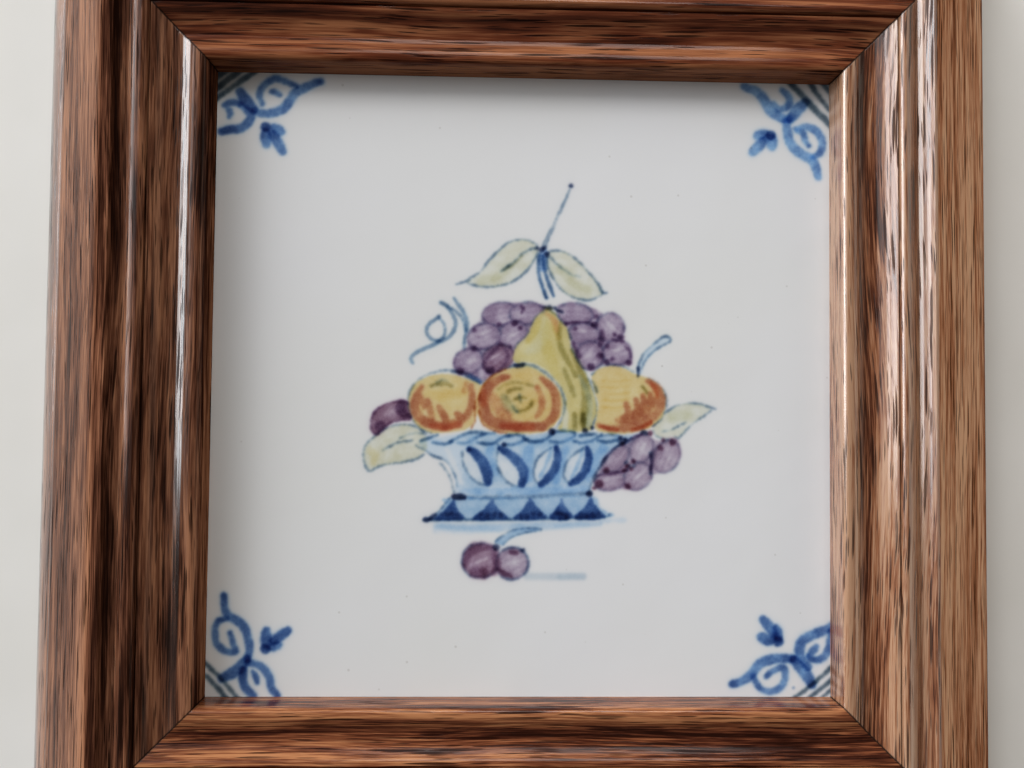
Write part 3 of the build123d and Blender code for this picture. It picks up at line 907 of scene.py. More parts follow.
# Each triangle's tip, left corner and right corner.
TRIANGLES = (
    ((453.8, 499.5), (434.6, 519), (464, 518.6)),
    ((492, 499), (473.4, 519), (508.4, 518.6)),
    ((530.6, 497.5), (513.6, 518.8), (546.8, 517.8)),
    ((562, 498), (549.4, 517.8), (573, 517.2)),
    ((590.6, 497.5), (574.6, 517.8), (605.6, 517.2)),
)
FOOT_STROKES = (
    (SLATE, 1.9, [(450, 498), (445, 503.8), (440, 510), (434, 516), (427, 520)], 0.4, DRAWN),
    (SLATE, 2.1, [(424, 520, 0.15), (440, 519.8), (480, 519.6), (535, 519.2), (575, 518.2), (604, 517),
     (610, 514.6, 0.2)], 0.55, DRY),
    (NIGHT, 3.6, [(424.5, 519.8), (429, 519.6)], 0.3),
    (NIGHT, 4, [(431, 518), (435, 515)], 0.4),
    (SLATE, [3.4, 3.8, 3.0, 3.0], [(460, 497.4), (500, 497.4), (530, 497), (550, 495.4), (570, 494.2),
     (588, 493.6)], 0.4, EVEN),
    (BARE, 1.6, [(474, 497), (530, 496.8), (584, 494)], 0.0, dict(WIPED, strength=0.3, soft=1.6)),
    (NIGHT, [5, 6, 5], [(454, 496.6), (459, 496.8), (464, 497)], 0.75),
    (NIGHT, 5.6, [(589, 493.6)], 0.6),
    (PALE_BLUE, [5, 7, 7, 3], [(437, 526), (480, 527.5), (540, 526), (600, 524)], 0.35,
     dict(soft=6, rough=0.4)),
    (PALE_BLUE, 5, [(436, 530), (470, 531), (500, 529)], 0.0, dict(soft=6, strength=0.6)),
    (PALE_BLUE, 4, [(602, 521), (624, 520)], 0.0, dict(soft=4, strength=0.7)),
)


# Rows of pixels at the foot: where a triangle's base dips to, where it darkens, and its spots.
FOOT_LINE = 520
FOOT_SHADE = (502, 516)
SPOT_ROW = 513.5
SPOTS = 4  # dark spots along a triangle's base
# Columns of pixels: the basket's light left end, where that ends, and the full shade.
BASKET_SHADE = (444, 470, 560)
OPENING_DRAWN = (7, 7, 6, 6)  # how many points of each opening's outline are drawn
CRESCENT_WIDTHS = (10.5, 10, 8.2, 8)


def foot_shade(u, v):
    """A triangle is darker towards its base."""
    top, bottom = FOOT_SHADE
    return 0.4 * np.clip((v - top) / (bottom - top), 0, 1)


def foot_triangle(c, tip, left, right):
    """One dark triangle of the foot, whose sides bulge a little."""
    (tip_x, tip_y), (left_x, left_y), (right_x, right_y) = tip, left, right
    points = [tip,
              ((tip_x * 2 + left_x) / 3 + 1.4, (tip_y * 2 + left_y) / 3),
              ((tip_x + left_x * 2) / 3 + 1.2, (tip_y + left_y * 2) / 3),
              left, ((left_x + right_x) / 2, FOOT_LINE), right,
              ((tip_x + right_x * 2) / 3 - 1.2, (tip_y + right_y * 2) / 3),
              ((tip_x * 2 + right_x) / 3 - 1.4, (tip_y * 2 + right_y) / 3)]
    c.wash(COBALT, points, 0.62, foot_shade, soft=1.8, cover=0.9, mottle=0.45)
    for k in range(SPOTS):
        share = (k + 0.5) / SPOTS
        x = left_x + 4 + share * (right_x - left_x - 8)
        y = SPOT_ROW + 2.5 * c.rng.random()
        c.dot(NIGHT, x, y, 2.2, 0.35, soft=3, strength=0.55)


def basket_shade(u, v):
    """The basket is pale at its left end and darker towards the right."""
    light, turn, dark = BASKET_SHADE
    return (0.45 * np.clip((u - turn) / (dark - turn), 0, 0.55)
            - 0.55 * np.clip((turn - u) / (turn - light), 0, 0.75))


def basket(c):
    """The pierced basket with its rope rim and the dark triangles round its foot."""
    c.wash(PALE_BLUE, BASKET_BODY, 0.16, basket_shade, soft=2.6, rim=0.0, mottle=0.5)
    c.strokes(BASKET_STREAKS)
    for opening, drawn in zip(OPENINGS, OPENING_DRAWN):
        c.wash(BARE, opening, 0.0, **WIPED)
        c.wash(PALE_BLUE, opening, 0.1, soft=3, rim=0.0, mottle=0.6, strength=0.5)
        c.brush(SLATE, 2.2, opening[:drawn], 0.4, mottle=0.8)
    for points, width in zip(CRESCENTS, CRESCENT_WIDTHS):
        widths = [share * width for share in (0.5, 0.85, 1.0, 0.95, 0.65)]
        c.brush(COBALT, widths, points, 0.74, soft=2.6, cover=0.6, mottle=0.5, rim=0.12)
    c.strokes(OPENING_MARKS)
    for points in ROPE_STRANDS:
        c.brush(PALE_BLUE, [3, 4.4, 3], points, 0.3, mottle=0.5, soft=2.4, strength=0.7)
        c.brush(SLATE, 2.2, points, 0.5, mottle=0.8, soft=1.8)
    for x, y, radius in ROPE_KNOTS:
        c.dot(NIGHT, x, y, radius, 0.6, soft=2)
    for points, tone, width in BASKET_SIDES:
        c.brush(SLATE, width, points, tone, mottle=0.7)
    c.wash(PALE_BLUE, BASKET_FOOT, 0.55, soft=2, rim=0.0, mottle=0.4)
    for triangle in TRIANGLES:
        foot_triangle(c, *triangle)
    c.strokes(FOOT_STROKES)


HANGING_BUNCH = [
    (597, 475), (602, 467), (609, 457), (618, 448.6), (628, 442), (634, 437), (642, 433.5), (652, 439),
    (660, 441), (676, 438.6), (680, 452), (674, 465), (660, 473), (652, 474), (648, 481), (636, 489),
    (624, 489), (610, 490), (598, 488), (594, 483)]
HANGING_GRAPES = (
    (ROSE, (615.2, 460.2), (17.2, 9.6), 47, 0.2),
    (ROSE, (641.4, 448.6), (14.6, 11.2), 62, 0.16, (642.5, 447)),
    (ROSE, (666.5, 456.5), (17, 13), 62, 0.22, (668, 460)),
    (ROSE, (610, 481), (16, 9.5), 8, 0.22),
    (ROSE, (638, 476.5), (15, 12.5), 40, 0.14, (637.5, 476.3)),
)
HANGING_GAPS = (
    (NIGHT, [1.6, 2.2, 1.4], [(593.6, 482), (597, 472), (604, 461), (612, 451), (620, 444.4)], 0.1,
     dict(mottle=0.8, soft=1.8)),
    (SLATE, [2.6, 3.6, 3.4, 2.6], [(650.6, 453), (651.6, 458), (651, 466), (650.6, 473)], 0.55, DRY),
    (PURPLE, 2.4, [(650.6, 455), (651.6, 463), (650.6, 472)], 0.4, DRY),
    (PURPLE, 2.2, [(624, 443.6), (633, 437.6), (642, 434.6)], 0.45),
    (PURPLE, 2.2, [(597, 475.6), (606, 474.6), (617, 472.6), (627, 470)], 0.5),
)
HANGING_DOTS = (
    (606.3, 470.6, 2.8, 0.7), (622, 443.8, 2, 0.7), (633, 461.3, 2.2, 0.7), (660, 448, 2.8, 0.45),
    (672.5, 442, 2.8, 0.45), (598.8, 483.8, 3.8, 0.6), (627.5, 486.3, 2.8, 0.75), (627, 466, 2, 0.8),
    (631, 468.6, 2, 0.7), (624, 470.6, 1.6, 0.6), (650, 433, 2.4, 0.7), (594, 488, 1.6, 0.6),
    (663, 440, 1.6, 0.6))
HANGING_SPECKS = ((626, 462.6), (629, 465.6), (633.6, 466.6))


def hanging_grapes(c):
    """The bunch that hangs over the basket's right side."""
    c.wash(ROSE, HANGING_BUNCH, 0.24, soft=2.4, rim=0.0, mottle=0.5, cover=0.8)
    for one in HANGING_GRAPES:
        grape(c, *one)
    c.strokes(HANGING_GAPS)
    for x, y, radius, tone in HANGING_DOTS:
        c.dot(WINE, x, y, radius, tone, soft=2)
    for x, y in HANGING_SPECKS:
        c.dot(SLATE, x, y, 1.5, 0.6)


CHERRIES = (
    (WINE, (481.4, 560.7), (19, 17), 20, 0.1, (481.4, 561), 0.3),
    (ROSE, (512, 563.6), (16.5, 16), 30, 0.28, (514, 563), 0.3),
)
CHERRY_STROKES = (
    (WINE, [4, 8, 10, 8, 4], [(465, 566), (467.6, 554), (476, 547.4), (487, 546.6), (494, 551)], 0.1,
     dict(soft=5, mottle=0.5, strength=0.8)),
    (WINE, 11, [(475, 572.6), (483, 573.4)], 0.25, dict(soft=5, mottle=0.5, strength=0.8)),
    (WINE, 6, [(494, 556), (497, 566), (494, 573)], 0.1, SOFTER),
    (NIGHT, 6, [(496, 547.6)], 0.3, FIRM),
    (WINE, 4, [(511, 552.6), (516, 552.6)], 0.35, dict(soft=3)),
    (WINE, [3, 4.4, 3], [(498, 569), (504, 573.4), (511, 576)], 0.4, SOFT),
    (NIGHT, 4, [(522.6, 550.4)], 0.35),
    (SLATE, 2.2, [(503, 550), (510, 547.6), (519, 548.6), (525.6, 554), (528.4, 562), (526.6, 571),
     (520, 577), (511, 579.4), (502, 577)], 0.2, EVEN),
    (SLATE, 2.0, [(470, 577), (463.6, 569), (462, 559), (465.6, 550), (473, 544.6), (484, 543.4)], 0.15,
     EVEN),
)
CHERRY_STEM = [
    (495, 543), (498, 539), (504, 535), (511, 531.2), (522, 528.8), (533.6, 528.6), (541, 530),
    (530, 532.6), (518, 535), (509, 539.6), (503, 545)]
CHERRY_STEM_LINES = (
    (SLATE, 1.6, [(495, 541.6), (502, 536.2), (510.7, 531.2), (522, 528.6), (533.6, 528.4),
     (541, 529.4, 0.2)], 0.3, DRAWN),
    (SLATE, 1.5, [(503, 545), (508, 539.6), (516.4, 535.2), (528, 532.2), (541, 531)], 0.22, DRAWN),
    (SLATE, 6, [(527, 576.4), (556, 576.6), (583, 576.4)], 0.1,
     dict(soft=5, strength=0.5, rough=0.3, mottle=0.1)),
    (SLATE, 5, [(560, 576.6), (583, 576.4)], 0.05, dict(soft=5, strength=0.4, rough=0.3, mottle=0.1)),
)


def cherries(c):
    """The two cherries under the basket."""
    for one in CHERRIES:
        grape(c, *one)
    c.strokes(CHERRY_STROKES)
    c.wash(PALE_BLUE, CHERRY_STEM, 0.55, soft=1.8)
    c.strokes(CHERRY_STEM_LINES)


def corner(c, tone, strokes, dots, bands):
    """One corner's ox-head: broad blue strokes, dark dots and the thin bands that cut the corner.

    tone is how thick the blue is. A stroke or band is its width and its points.
    """
    for width, points in bands:
        c.brush(BAND, width, points, 0.65, soft=2.4, mottle=0.35, rim=0.0)
    for width, points in strokes:
        widths = [share * width for share in (0.85, 1.12, 1.18, 1.12, 0.85)]
        c.brush(PALE_BLUE, [w + 4 for w in widths], points, 0.0, soft=4, rim=0.0, strength=0.45,
                mottle=0.3)
        c.brush(CORNER_BLUE, widths, points, tone, soft=2.8, mottle=0.45, rim=0.10)
    for x, y in dots:
        c.dot(CORNER_BLUE, x, y, 4.6, 0.8, soft=2.4)


TOP_LEFT_STROKES = (
    (8, [(273.6, 127, 0.2), (281.8, 132.4)]),
    (8.5, [(265.8, 131, 0.2), (266.4, 145)]),
    (8.5, [(271.8, 133.3, 0.2), (277.6, 142), (282.7, 151.5)]),
    (7.5, [(254.5, 110.5), (261, 113.3), (271.8, 113.3), (282.7, 108.7), (290, 100.5), (295.5, 92.4),
     (305.5, 87.8), (314.5, 83.3), (321, 81.5, 0.4)]),
    (5.5, [(296.4, 86, 0.4), (285.5, 81.5), (275.5, 78.7), (266.4, 83.3), (261, 89.6), (259.5, 97),
     (262.5, 104)]),
    (5, [(272, 92, 0.2), (276, 92.4), (280, 94.4)]),
    (9, [(239.5, 91.5, 0.35), (246.4, 101.5, 0.2), (253.6, 109.6, 0.3)]),
    (7, [(241, 105), (248.2, 111.5), (251, 117.6), (246.4, 124.6), (240, 128.7), (231.8, 129.2, 0.4),
     (221, 131.5, 0.35)]),
    (5.5, [(239, 104, 0.1), (231.8, 102.4, 0.35), (224.5, 105, 0.1)]),
    (4.5, [(227.6, 108.6), (230.6, 112.6), (229, 117)]),
)
TOP_LEFT_BANDS = (
    (5, [(214, 100), (234, 86), (256, 71)]),
    (6, [(212, 92), (226, 81), (242, 69)]),
    (6, [(212, 82), (218, 76), (228, 69)]),
)
TOP_RIGHT_STROKES = (
    (8.5, [(765, 134, 0.2), (757, 136)]),
    (8, [(764, 140, 0.2), (758, 146.6), (752, 153)]),
    (9, [(771.6, 138, 0.2), (772, 147)]),
    (8, [(744, 86.6), (757, 92), (764, 100, 0.15), (770, 110), (777, 116), (785, 118.6), (790, 118.6)]),
    (5.5, [(782, 90), (789, 97), (788.6, 105, 0.4), (780, 109.6), (774, 103.6)]),
    (9, [(790, 119.6, 0.35), (797, 110.6), (805.4, 102.6, 0.3)]),
    (8, [(786, 121.4), (787, 130), (789.4, 141), (795, 149), (803, 155), (811, 159.4), (815.4, 167),
     (818.4, 177)]),
    (6, [(796, 129), (805, 127), (815, 130), (821, 138), (822, 146), (820, 153, 0.4), (813, 157)]),
    (5, [(797, 131), (803, 134, 0.3), (805.4, 142), (808.6, 145.6, 0.4)]),
)
TOP_RIGHT_BANDS = (
    (6, [(788, 80), (797, 90), (808, 102), (820, 115), (834, 129)]),
    (4.5, [(808, 80), (815, 91), (823, 102), (834, 114)]),
    (5, [(820, 80), (834, 97)]),
)
BOTTOM_LEFT_STROKES = (
    (7, [(223.6, 596, 0.35), (224.4, 605), (226.5, 613), (232, 618), (240, 622.6), (245, 629),
     (248, 638), (249.5, 647), (248.6, 655), (246.6, 659)]),
    (5.5, [(227, 618.6), (219.6, 620.4, 0.35), (215.6, 626), (215, 634), (216.4, 643), (222, 649),
     (229, 652), (235.6, 651.6, 0.35), (234, 646.6), (231.6, 639), (230, 633, 0.35)]),
    (9, [(247, 658.6, 0.3), (240, 667), (231, 674), (222, 678.6, 0.35)]),
    (7, [(243.6, 669, 0.35), (242.8, 678, 0.35), (244.4, 685.6), (248, 691), (254, 696)]),
    (4.5, [(252.6, 671.4), (256, 677), (257, 683, 0.2)]),
    (6.5, [(248, 662.6), (257, 664.4), (265, 670), (269.6, 678), (271.4, 688), (277.6, 696)]),
    (9, [(266.5, 631), (265.6, 645, 0.2)]),
    (8, [(288, 630.6), (280.6, 635.6), (273, 641.6, 0.2)]),
    (8, [(271, 647.4, 0.2), (279, 645)]),
)
BOTTOM_LEFT_BANDS = (
    (4, [(205, 663), (216, 673.6), (224, 682), (238, 699)]),
    (4.4, [(206, 675.6), (217, 687.4), (227, 699)]),
)
BOTTOM_RIGHT_STROKES = (
    (8, [(763, 619.5), (769.3, 626.8), (775, 636, 0.2)]),
    (8, [(776.6, 628.4), (778.2, 638.4, 0.2)]),
    (9, [(761, 636.8), (769.8, 641.2, 0.2)]),
    (8, [(732.6, 683.8, 0.35), (740, 682), (749.3, 676), (754.7, 669.4), (761, 663.4), (769.3, 659.8),
     (780, 658.4), (793, 659, 0.3)]),
    (5.5, [(753, 676), (756.5, 683), (759.6, 687.6, 0.35), (766, 691.4), (774, 691), (781, 686.8),
     (784.7, 679.5), (785, 671.6), (782.6, 667.4, 0.3), (776.5, 669.4), (771, 672.4),
     (766.4, 676.6, 0.35)]),
    (9.5, [(793.8, 659.8, 0.3), (801, 667.7), (807.5, 676.8), (812, 684.6, 0.4)]),
    (8, [(808, 667), (802, 660.5), (799.6, 652.3), (800.6, 643.4), (805.6, 637.9), (813, 635),
     (818.4, 632.8, 0.25), (826.5, 629.5), (832, 625.6)]),
    (6, [(830, 631.4, 0.3), (830, 639.5), (829.3, 647.7), (824.7, 656), (818.4, 659.6, 0.35),
     (811, 658.8, 0.35), (807.6, 656.8)]),
    (5.5, [(809.3, 655), (813, 650.5), (816.6, 646.6)]),
)
BOTTOM_RIGHT_BANDS = (
    (3.4, [(793, 699), (809.3, 686.8), (820, 677.7), (834, 665)]),
    (3.4, [(808, 699), (822, 687.7), (834, 678)]),
    (3, [(820, 699), (834, 688)]),
)
# Each corner's thickness of blue, strokes, dots and bands.
CORNERS = (
    (0.3, TOP_LEFT_STROKES, [(265.5, 127)], TOP_LEFT_BANDS),
    (0.12, TOP_RIGHT_STROKES, [(770.5, 135)], TOP_RIGHT_BANDS),
    (0.48, BOTTOM_LEFT_STROKES, [(265, 649)], BOTTOM_LEFT_BANDS),
    (0.32, BOTTOM_RIGHT_STROKES, [(778.4, 641.8)], BOTTOM_RIGHT_BANDS),
)
CORNER_SPECK = (
    (CORNER_BLUE, 2.0, [(793, 687.7)], 0.5),
)


def corners(c):
    """The ox-head ornaments in the four corners."""
    for one in CORNERS:
        corner(c, *one)
    c.strokes(CORNER_SPECK)


PAINTING_SEED = 12


def paint_tile():
    """The whole painting, from what lies behind to what lies in front."""
    c = Canvas(PAINTING_SEED)
    for draw in (corners, top_sprig, tendril, grapes, left_plum, pear, side_leaves, left_apple,
                 middle_apple, right_apple, basket, hanging_grapes, cherries):
        draw(c)
    c.soak_in()
    return c


APART = 61.0  # mm between the rails' places in the grain
SLOPE_AT = (17.4, 18.0)  # mm from the sight line, where the long outer slope begins
TONES_AT = (0.0, 0.24, 0.52, 0.86)  # where the ramp has the black, dark, middle and light wood
JOINT_TONE = (0.010, 0.006, 0.004)
SWELL_UNITS = 10.0  # the tenths of a mm that the swell's ramp runs over
GRAIN_RELIEF = 0.0001  # m


def oak(name, along, seed, tones, strength, stain, gloss, slope_tint=(1.0, 1.0, 1.0),
        swell=None):
    """Dark stained, varnished oak whose grain runs along X or Y.

    tones is (dark, middle, light) and strength how much the broad, the middle and the fine
    grain change the tone. stain lists (distance from the sight line in mm, shift) across the
    moulding: below zero the stain is darker there, above it the wood is paler. The shifts hold
    the stain and also painted shade where members face away from the light and painted
    highlights where the varnish shines.
    gloss lists (distance, level) in the same way for the varnish.
    slope_tint multiplies the colours of the long outer slope.
    swell lists (distance, height in tenths of a mm): a faint rounding over of the members.
    """
    n = Nodes(name)
    x, y, z = n.place()
    run, across = (x, y) if along == "X" else (y, x)
    from_sight = n.math("SUBTRACT", n.math("ABSOLUTE", across), SIGHT_HALF)
    to_mitre = n.math("SUBTRACT", n.math("ABSOLUTE", across), n.math("ABSOLUTE", run))
    run = n.math("ADD", run, seed * APART)

    # The grain wanders up to a few mm across its run.
    drift = n.noise(n.vector(n.math("MULTIPLY", run, 0.014), n.math("MULTIPLY", across, 0.04),
                             n.math("MULTIPLY_ADD", z, 0.04, seed)), detail=1.5)
    sway = n.math("MULTIPLY_ADD", drift, 5.0, across)

    def grain(along_scale, across_scale, shift=0.0, **settings):
        """Noise that is stretched along the wood. The scales are in blotches a mm."""
        return n.noise(n.vector(n.math("MULTIPLY", run, along_scale),
                                n.math("MULTIPLY", sway, across_scale),
                                n.math("MULTIPLY_ADD", z, across_scale, seed * 3.7 + shift)),
                       **settings)

    # The wood's broad figure, its bands, its fibres, and patches that crowd or thin its pores.
    broad = grain(0.007, 0.16, detail=2.0)
    band = grain(0.030, 0.72, 5.0, detail=3.0, roughness=0.6)
    fibre = grain(0.075, 3.2, 11.0, detail=3.0, roughness=0.7)
    patch = grain(0.05, 0.30, 23.0, detail=2.0)

    def dashes(length, width, shift, low, high):
        """Open pores: long narrow cells, cut off at a distance from each cell's middle.

        length and width are in mm; low and high are where a pore starts to fade and ends.
        """
        cell = n.cells(n.vector(n.math("DIVIDE", run, length), n.math("DIVIDE", sway, width),
                                n.math("ADD", n.math("DIVIDE", z, width), shift + seed)))
        ragged = n.math("MULTIPLY_ADD", n.math("SUBTRACT", fibre, 0.5), 0.30, cell)
        return n.step(ragged, high, low)

    on_slope = n.step(from_sight, *SLOPE_AT)
    crowd = n.step(patch, 0.32, 0.55)
    long_pores = n.math("MULTIPLY", dashes(19.0, 0.82, 0.0, 0.21, 0.32), crowd)
    short_pores = n.math("MULTIPLY", dashes(9.0, 0.48, 9.0, 0.18, 0.30),
                         n.math("MULTIPLY_ADD", crowd, 0.45, 0.50))
    pore = n.math("MAXIMUM", long_pores, short_pores)

    # Where the stain took more or less, with painted shade and painted highlights, across the moulding,
    # and at random.
    low, high = stain[0][0], stain[-1][0]
    spot = n.math("DIVIDE", n.math("SUBTRACT", from_sight, low), high - low)
    level = n.ramp(spot, [((at - low) / (high - low), 0.5 + 0.5 * shift) for at, shift in stain])
    calm = n.math("MULTIPLY_ADD", on_slope, -0.12, 1.0)
    dark_patch = n.math("MULTIPLY", n.step(patch, 0.50, 0.68), n.math("SUBTRACT", 1.0, on_slope))
    body = n.math("MULTIPLY_ADD", dark_patch, -0.16, level)
    for noise, amount in zip((broad, band, fibre), strength):
        swing = n.math("MULTIPLY", n.math("SUBTRACT", noise, 0.5), calm)
        body = n.math("MULTIPLY_ADD", swing, amount, body)
    dark, middle, light = tones
    black = tuple(0.30 * channel for channel in dark)
    colour = n.ramp(body, list(zip(TONES_AT, (black, dark, middle, light))))
    colour = n.mix(on_slope, colour, slope_tint, "MULTIPLY")
    colour = n.mix(n.math("MULTIPLY", pore, 0.88), colour, black)

    # The mitre's thin joint.
    joint = n.step(n.math("MULTIPLY_ADD", fibre, 0.3, n.math("ABSOLUTE", to_mitre)), 0.50, 0.24)
    colour = n.mix(n.math("MULTIPLY", joint, 0.85), colour, JOINT_TONE)

    # Pores are pits that the varnish doesn't fill, so the gloss breaks there.
    pits = n.math("MAXIMUM", pore, joint)
    relief = n.math("MULTIPLY_ADD", fibre, 0.22, n.math("MULTIPLY", pits, -1.0))
    varnish = n.ramp(n.math("DIVIDE", from_sight, RAIL_WIDTH),
                     [(at / RAIL_WIDTH, level) for at, level in gloss])
    under = None
    if swell:
        height = n.ramp(n.math("DIVIDE", from_sight, RAIL_WIDTH),
                        [(at / RAIL_WIDTH, rise / SWELL_UNITS) for at, rise in swell])
        under = n.bump(height, 1.0, 0.1 * MM * SWELL_UNITS)
    n.set(Base_Color=colour,
          Roughness=n.math("MULTIPLY_ADD", pits, 0.40, n.math("MULTIPLY_ADD", fibre, 0.12, 0.09)),
          Specular_IOR_Level=n.math("MULTIPLY", varnish, n.math("MULTIPLY_ADD", pits, -0.85, 1.0)),
          Coat_Weight=n.math("MULTIPLY", varnish, 0.7), Coat_Roughness=0.14,
          Normal=n.bump(relief, 0.35, GRAIN_RELIEF, under))
    return n.material


def dress(node, material):
    """Gives a node of the part its material."""
    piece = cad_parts[node]
    piece.data.materials.clear()
    piece.data.materials.append(material)
    for polygon in piece.data.polygons:
        polygon.material_index = 0


# The wood's dark, middle and light tone, by rail.
TAN = (linear(76, 40, 25), linear(128, 82, 56), linear(162, 125, 98))
BROWN = (linear(62, 29, 18), linear(116, 66, 42), linear(170, 115, 77))
UMBER = (linear(50, 27, 18), linear(96, 60, 43), linear(144, 100, 74))
RUSSET = (linear(42, 18, 11), linear(92, 46, 28), linear(152, 98, 66))

# Across each rail from the sight line, as oak says: its stain with painted shade and highlights, its
# gloss and any swell.
# Painted light on the left rail: shade from 16 to 19 mm, highlights on the roll's back and the outer
# edge.
LEFT_STAIN_AND_PAINTED_LIGHT = [
    (0.0, 0.05), (0.35, 0.2), (0.6, 0.45), (2.6, 0.4), (3.6, 0.2), (6.0, 0.3), (6.6, 0.05),
    (12.0, 0.0), (13.4, 0.4), (14.2, 0.45), (15.4, 0.15), (16.0, -0.45), (17.0, -0.4),
    (17.6, -0.6), (19.2, -0.5), (20.0, 0.2), (22.5, 0.35), (28.0, 0.15), (31.0, 0.0),
    (31.8, 0.35), (33.2, 0.45), (34.2, 0.0), (35.2, -0.2)]
LEFT_GLOSS = [
    (0.35, 0.0), (0.5, 0.1), (3.4, 0.1), (3.8, 1.0), (4.7, 1.0), (5.2, 0.5), (6.0, 0.35),
    (6.6, 0.12), (12.4, 0.03), (13.3, 0.2), (13.7, 0.26), (14.4, 0.18), (14.8, 0.08), (16.6, 0.0),
    (20.0, 0.0), (22.0, 0.10), (31.0, 0.12), (31.5, 1.0), (35.2, 1.0)]
LEFT_SWELL = [
    (3.2, 3.0), (3.8, 3.0), (6.2, 0.0), (35.2, 0.0)]
# Painted light on the right rail: paler lit wall and bead, shade in the cove, highlights on brow and
# flute.
RIGHT_STAIN_AND_PAINTED_LIGHT = [
    (0.0, 0.65), (1.4, 0.6), (2.2, 0.15), (3.2, 0.3), (3.9, -0.4), (5.4, -0.6), (6.4, -0.45),
    (7.3, -0.3), (8.2, 0.1), (9.0, 0.25), (10.6, 0.5), (11.4, 0.2), (12.2, 0.0), (13.4, -0.05),
    (14.2, 0.4), (15.0, 0.4), (16.8, 0.3), (17.4, 0.2), (18.2, 0.22), (33.0, 0.22), (35.2, -0.4)]
RIGHT_GLOSS = [
    (0.35, 0.9), (0.6, 1.0), (1.6, 1.0), (4.0, 0.3), (6.0, 0.3), (8.0, 0.5), (9.0, 0.55),
    (9.6, 0.8), (10.8, 0.9), (17.2, 0.9), (17.7, 0.0), (35.2, 0.0)]
RIGHT_SWELL = [
    (8.6, 0.0), (8.9, 0.4), (9.6, 3.2), (10.5, 8.2), (10.7, 8.4), (11.6, 7.0), (14.3, 1.2),
    (15.2, 5.2), (16.4, 7.8), (17.2, 8.2)]
# Painted light on the top rail: paler wood from the lip to about 6 mm as a painted broad sheen.
TOP_STAIN_AND_PAINTED_LIGHT = [
    (0.0, 0.5), (1.6, 0.5), (2.6, 0.52), (3.4, 0.42), (6.0, 0.27), (10.2, 0.15), (10.5, -0.3),
    (10.8, 0.35), (35.2, 0.1)]
TOP_GLOSS = [
    (0.35, 0.05), (0.6, 0.1), (5.8, 0.12), (6.6, 0.2), (17.4, 0.3), (35.2, 0.2)]
# Painted light on the bottom rail: a paler bead as painted highlight and painted shade in the groove.
BOTTOM_STAIN_AND_PAINTED_LIGHT = [
    (0.0, 0.25), (1.0, 0.7), (2.1, 0.75), (2.8, 0.4), (3.4, 0.35), (4.0, 0.0), (4.6, -0.35),
    (4.9, -0.5), (5.6, -0.35), (8.0, -0.2), (8.8, 0.0), (9.6, 0.15), (10.8, 0.1), (35.2, 0.1)]
BOTTOM_GLOSS = [
    (0.35, 0.3), (0.6, 0.25), (6.0, 0.1), (8.0, 0.1), (8.8, 0.15), (17.4, 0.15), (35.2, 0.2)]

dress("rail_left", oak("oak_left", "Y", 1.3, UMBER, (1.3, 1.45, 1.35), LEFT_STAIN_AND_PAINTED_LIGHT, LEFT_GLOSS,
                       swell=LEFT_SWELL))
dress("rail_right", oak("oak_right", "Y", 4.1, TAN, (1.5, 1.5, 1.8), RIGHT_STAIN_AND_PAINTED_LIGHT, RIGHT_GLOSS,
                        slope_tint=(1.7, 1.82, 1.9), swell=RIGHT_SWELL))
dress("rail_top", oak("oak_top", "X", 7.7, RUSSET, (1.1, 1.2, 0.55), TOP_STAIN_AND_PAINTED_LIGHT, TOP_GLOSS))
dress("rail_bottom", oak("oak_bottom", "X", 10.9, BROWN, (1.1, 1.5, 1.8), BOTTOM_STAIN_AND_PAINTED_LIGHT,
                         BOTTOM_GLOSS))


def plain_board():
    """Brown pressed board with fine random fibres."""
    n = Nodes("pressed_board")
    x, y, z = n.place()
    fibre = n.noise(n.vector(x, y, z), scale=1.7, detail=6.0, roughness=0.75, distortion=2.5)
    cloud = n.noise(n.vector(x, y, z), scale=0.05, detail=2.0)
    colour = n.ramp(fibre, [(0.25, linear(96, 66, 44)), (0.75, linear(138, 100, 70))])
    colour = n.mix(n.math("MULTIPLY", cloud, 0.35), colour, linear(104, 72, 48))
    n.set(Base_Color=colour, Roughness=0.78, Normal=n.bump(fibre, 0.3, GRAIN_RELIEF))
    return n.material


def wire():
    """Drawn steel wire, a little dulled."""
    n = Nodes("brad_wire")
    x, y, z = n.place()
    stain = n.noise(n.vector(x, y, z), scale=0.8, detail=3.0)
    n.set(Base_Color=n.ramp(stain, [(0.35, linear(150, 148, 144)), (0.7, linear(108, 92, 78))]),
          Metallic=1.0, Roughness=n.math("MULTIPLY_ADD", stain, 0.3, 0.25))
    return n.material


dress("backing_board", plain_board())
steel = wire()
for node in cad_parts:
    if node.startswith("brad_"):
        dress(node, steel)


PAINT_TOLERANCE = 0.020  # of a channel's full brightness, as a screen shows it
SCREEN_GAMMA = 2.2
FLOOR_HALF = 3.0  # m
CLIP_START = 0.01  # m
ROOM_TONE, ROOM_STRENGTH = (1.0, 0.94, 0.86), 0.09
WINDOW_TONE = (0.96, 0.98, 1.0)
# Name, azimuth and elevation in degrees, distance and size in metres, power in watts and colour.
LAMPS = (
    ("window_light", 150, 20, 10.0, (12.0, 6.6), 1820.0, WINDOW_TONE),
    ("upper_window_light", 150, 52, 10.0, (10.0, 3.7), 180.0, WINDOW_TONE),
    ("top_light", 84, 46, 0.9, (0.45, 0.32), 3.1, (1.0, 0.98, 0.95)),
    ("right_light", 10, 22, 2.0, (3.0, 1.3), 12.0, (1.0, 0.85, 0.70)),
)


